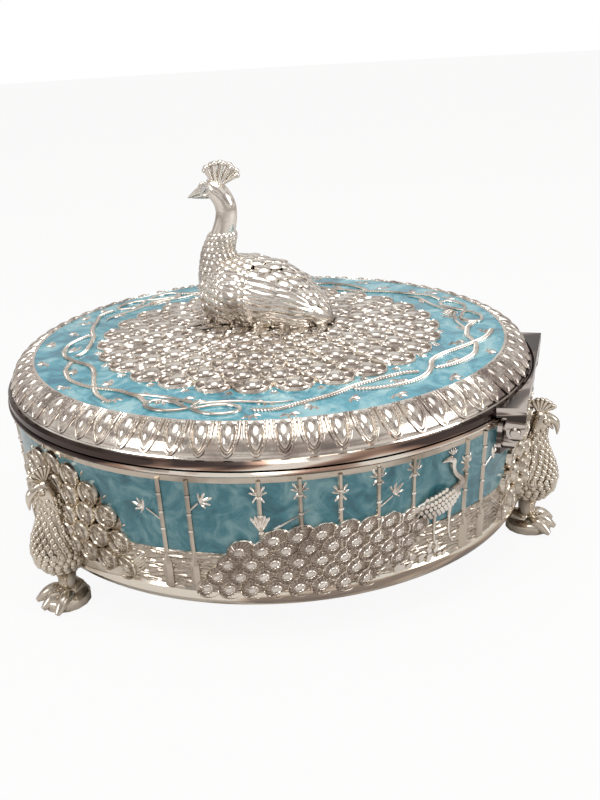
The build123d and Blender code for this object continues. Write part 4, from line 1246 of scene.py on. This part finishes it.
back_line = [skin(body_sections, rise, 0.0, 0.9 * mm)[0] for rise in (2.9, 3.6, 4.3, 5.0, 5.6, 6.2, 6.8)]
spine_line = strands("finial_spine", [[(place.y, place.z, place.x, 0.6 * mm) for place in back_line]], sides=2)
base_leaves = []
for index, (place, reach) in enumerate(
    ((-24, 8.5), (-19, 12.5), (-12, 15.0), (-4, 16.4), (4, 16.2), (12, 14.2), (19, 11.0), (25, 7.0))
):
    for side in (-1, 1):
        heading = -side * (2.35 - 0.14 * index)
        base_leaves.append(leaning(
            side * (reach - 4.0) * mm, place * mm, perch + 1.2 * mm, heading, -0.06,
            9.0 * mm, 5.2 * mm, 2.6 * mm,
        ))
leaves = copies("finial_leaves", leaf, base_leaves)


def head_route(*points):
    """Route in the middle of the bird, from places and heights over its perch in mm."""
    return [(0, place * mm, perch + height * mm, size * mm) for place, height, size in points]


# Beak, crest of rods with round tips, and the ring round each stone
beak = strands("finial_beak", [
    head_route((-22.0, 57.2, 3.2), (-26.4, 55.6, 2.3), (-29.4, 54.2, 1.3), (-32.2, 52.9, 0.3)),
    head_route((-22.6, 54.8, 2.4), (-26.4, 53.8, 1.5), (-30.2, 52.9, 0.35)),
], sides=3, steps=5)
rods, tips = [], []
crest_centre = Vector((0, -17.2 * mm, perch + 60.2 * mm))
for index in range(10):
    lean = math.radians(146 - 14.4 * index)
    layer = (-0.9, 0.9)[index % 2] * mm
    end = crest_centre + Vector((layer, 8.0 * mm * math.cos(lean), 7.1 * mm * math.sin(lean)))
    root = crest_centre + Vector((layer * 0.4, -1.4 * mm + 2.2 * mm * math.cos(lean), -1.6 * mm))
    middle = (root + end) / 2
    rods.append([(*root, 0.8 * mm), (*middle, 0.8 * mm), (*end, 0.95 * mm)])
    tips.append(Matrix.Translation(end) @ Matrix.Diagonal((1.3 * mm, 1.4 * mm, 1.35 * mm, 1)))
crest_rods = strands("finial_crest", rods, sides=2)
crest_tips = copies("finial_tips", bead, tips)
stone_low, stone_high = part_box("eye_stones")
stone_place = (stone_low + stone_high) / 2
ring_places, brow_places = [], []
brow_radius = 2.7 * mm
brow_size = 0.42 * mm
for side in (-1, 1):
    ring_place = (side * (stone_high.x - 0.9 * mm), stone_place.y, stone_place.z)
    ring_places.append(facing(ring_place, math.pi / 2, "Y", 2.0 * mm, 2.2 * mm, 1.8 * mm))
    for spot in range(12):
        turn = 2 * math.pi * spot / 12
        brow_places.append(at(
            side * (stone_high.x - 1.2 * mm), stone_place.y + brow_radius * math.cos(turn),
            stone_place.z + brow_radius * math.sin(turn), 0.0, brow_size, brow_size, brow_size,
        ))
rings = copies("finial_eye_rings", eye_ring, ring_places)
brows = copies("finial_brows", small_bead, brow_places)
finial = join(
    "peacock_on_lid", neck, trunk, scales, wing_quills, spine_line, leaves, beak, crest_rods, crest_tips, rings, brows,
)
finish_piece(finial, cast_silver, "lid", 45)
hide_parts("peacock_finial")

# Eye stones: two stones of cut glass, one on each side of the head, each set in the cast ring
# that stands round it.
stone, stone_tree, stone_shader = new_finish("eye_stone")
stone_place = node(stone_tree, "TexCoord").outputs["Object"]
stone_facets = node(stone_tree, "TexVoronoi", {"Vector": stone_place, "Scale": 1500.0})
fill(stone_shader, {
    "Base Color": ramp(
        stone_tree, stone_facets.outputs["Color"], (0.0, 0.55, 0.58, 0.62), (1.0, 0.95, 0.96, 0.98)
    ),
    "Roughness": 0.03, "Metallic": 0.6,
})
dress(stone, "eye_stones")

for pattern in (leaf, twig, small_feather, bead, small_bead, scale_pattern, eye_ring, disc_feather, egg):
    bpy.data.objects.remove(pattern)
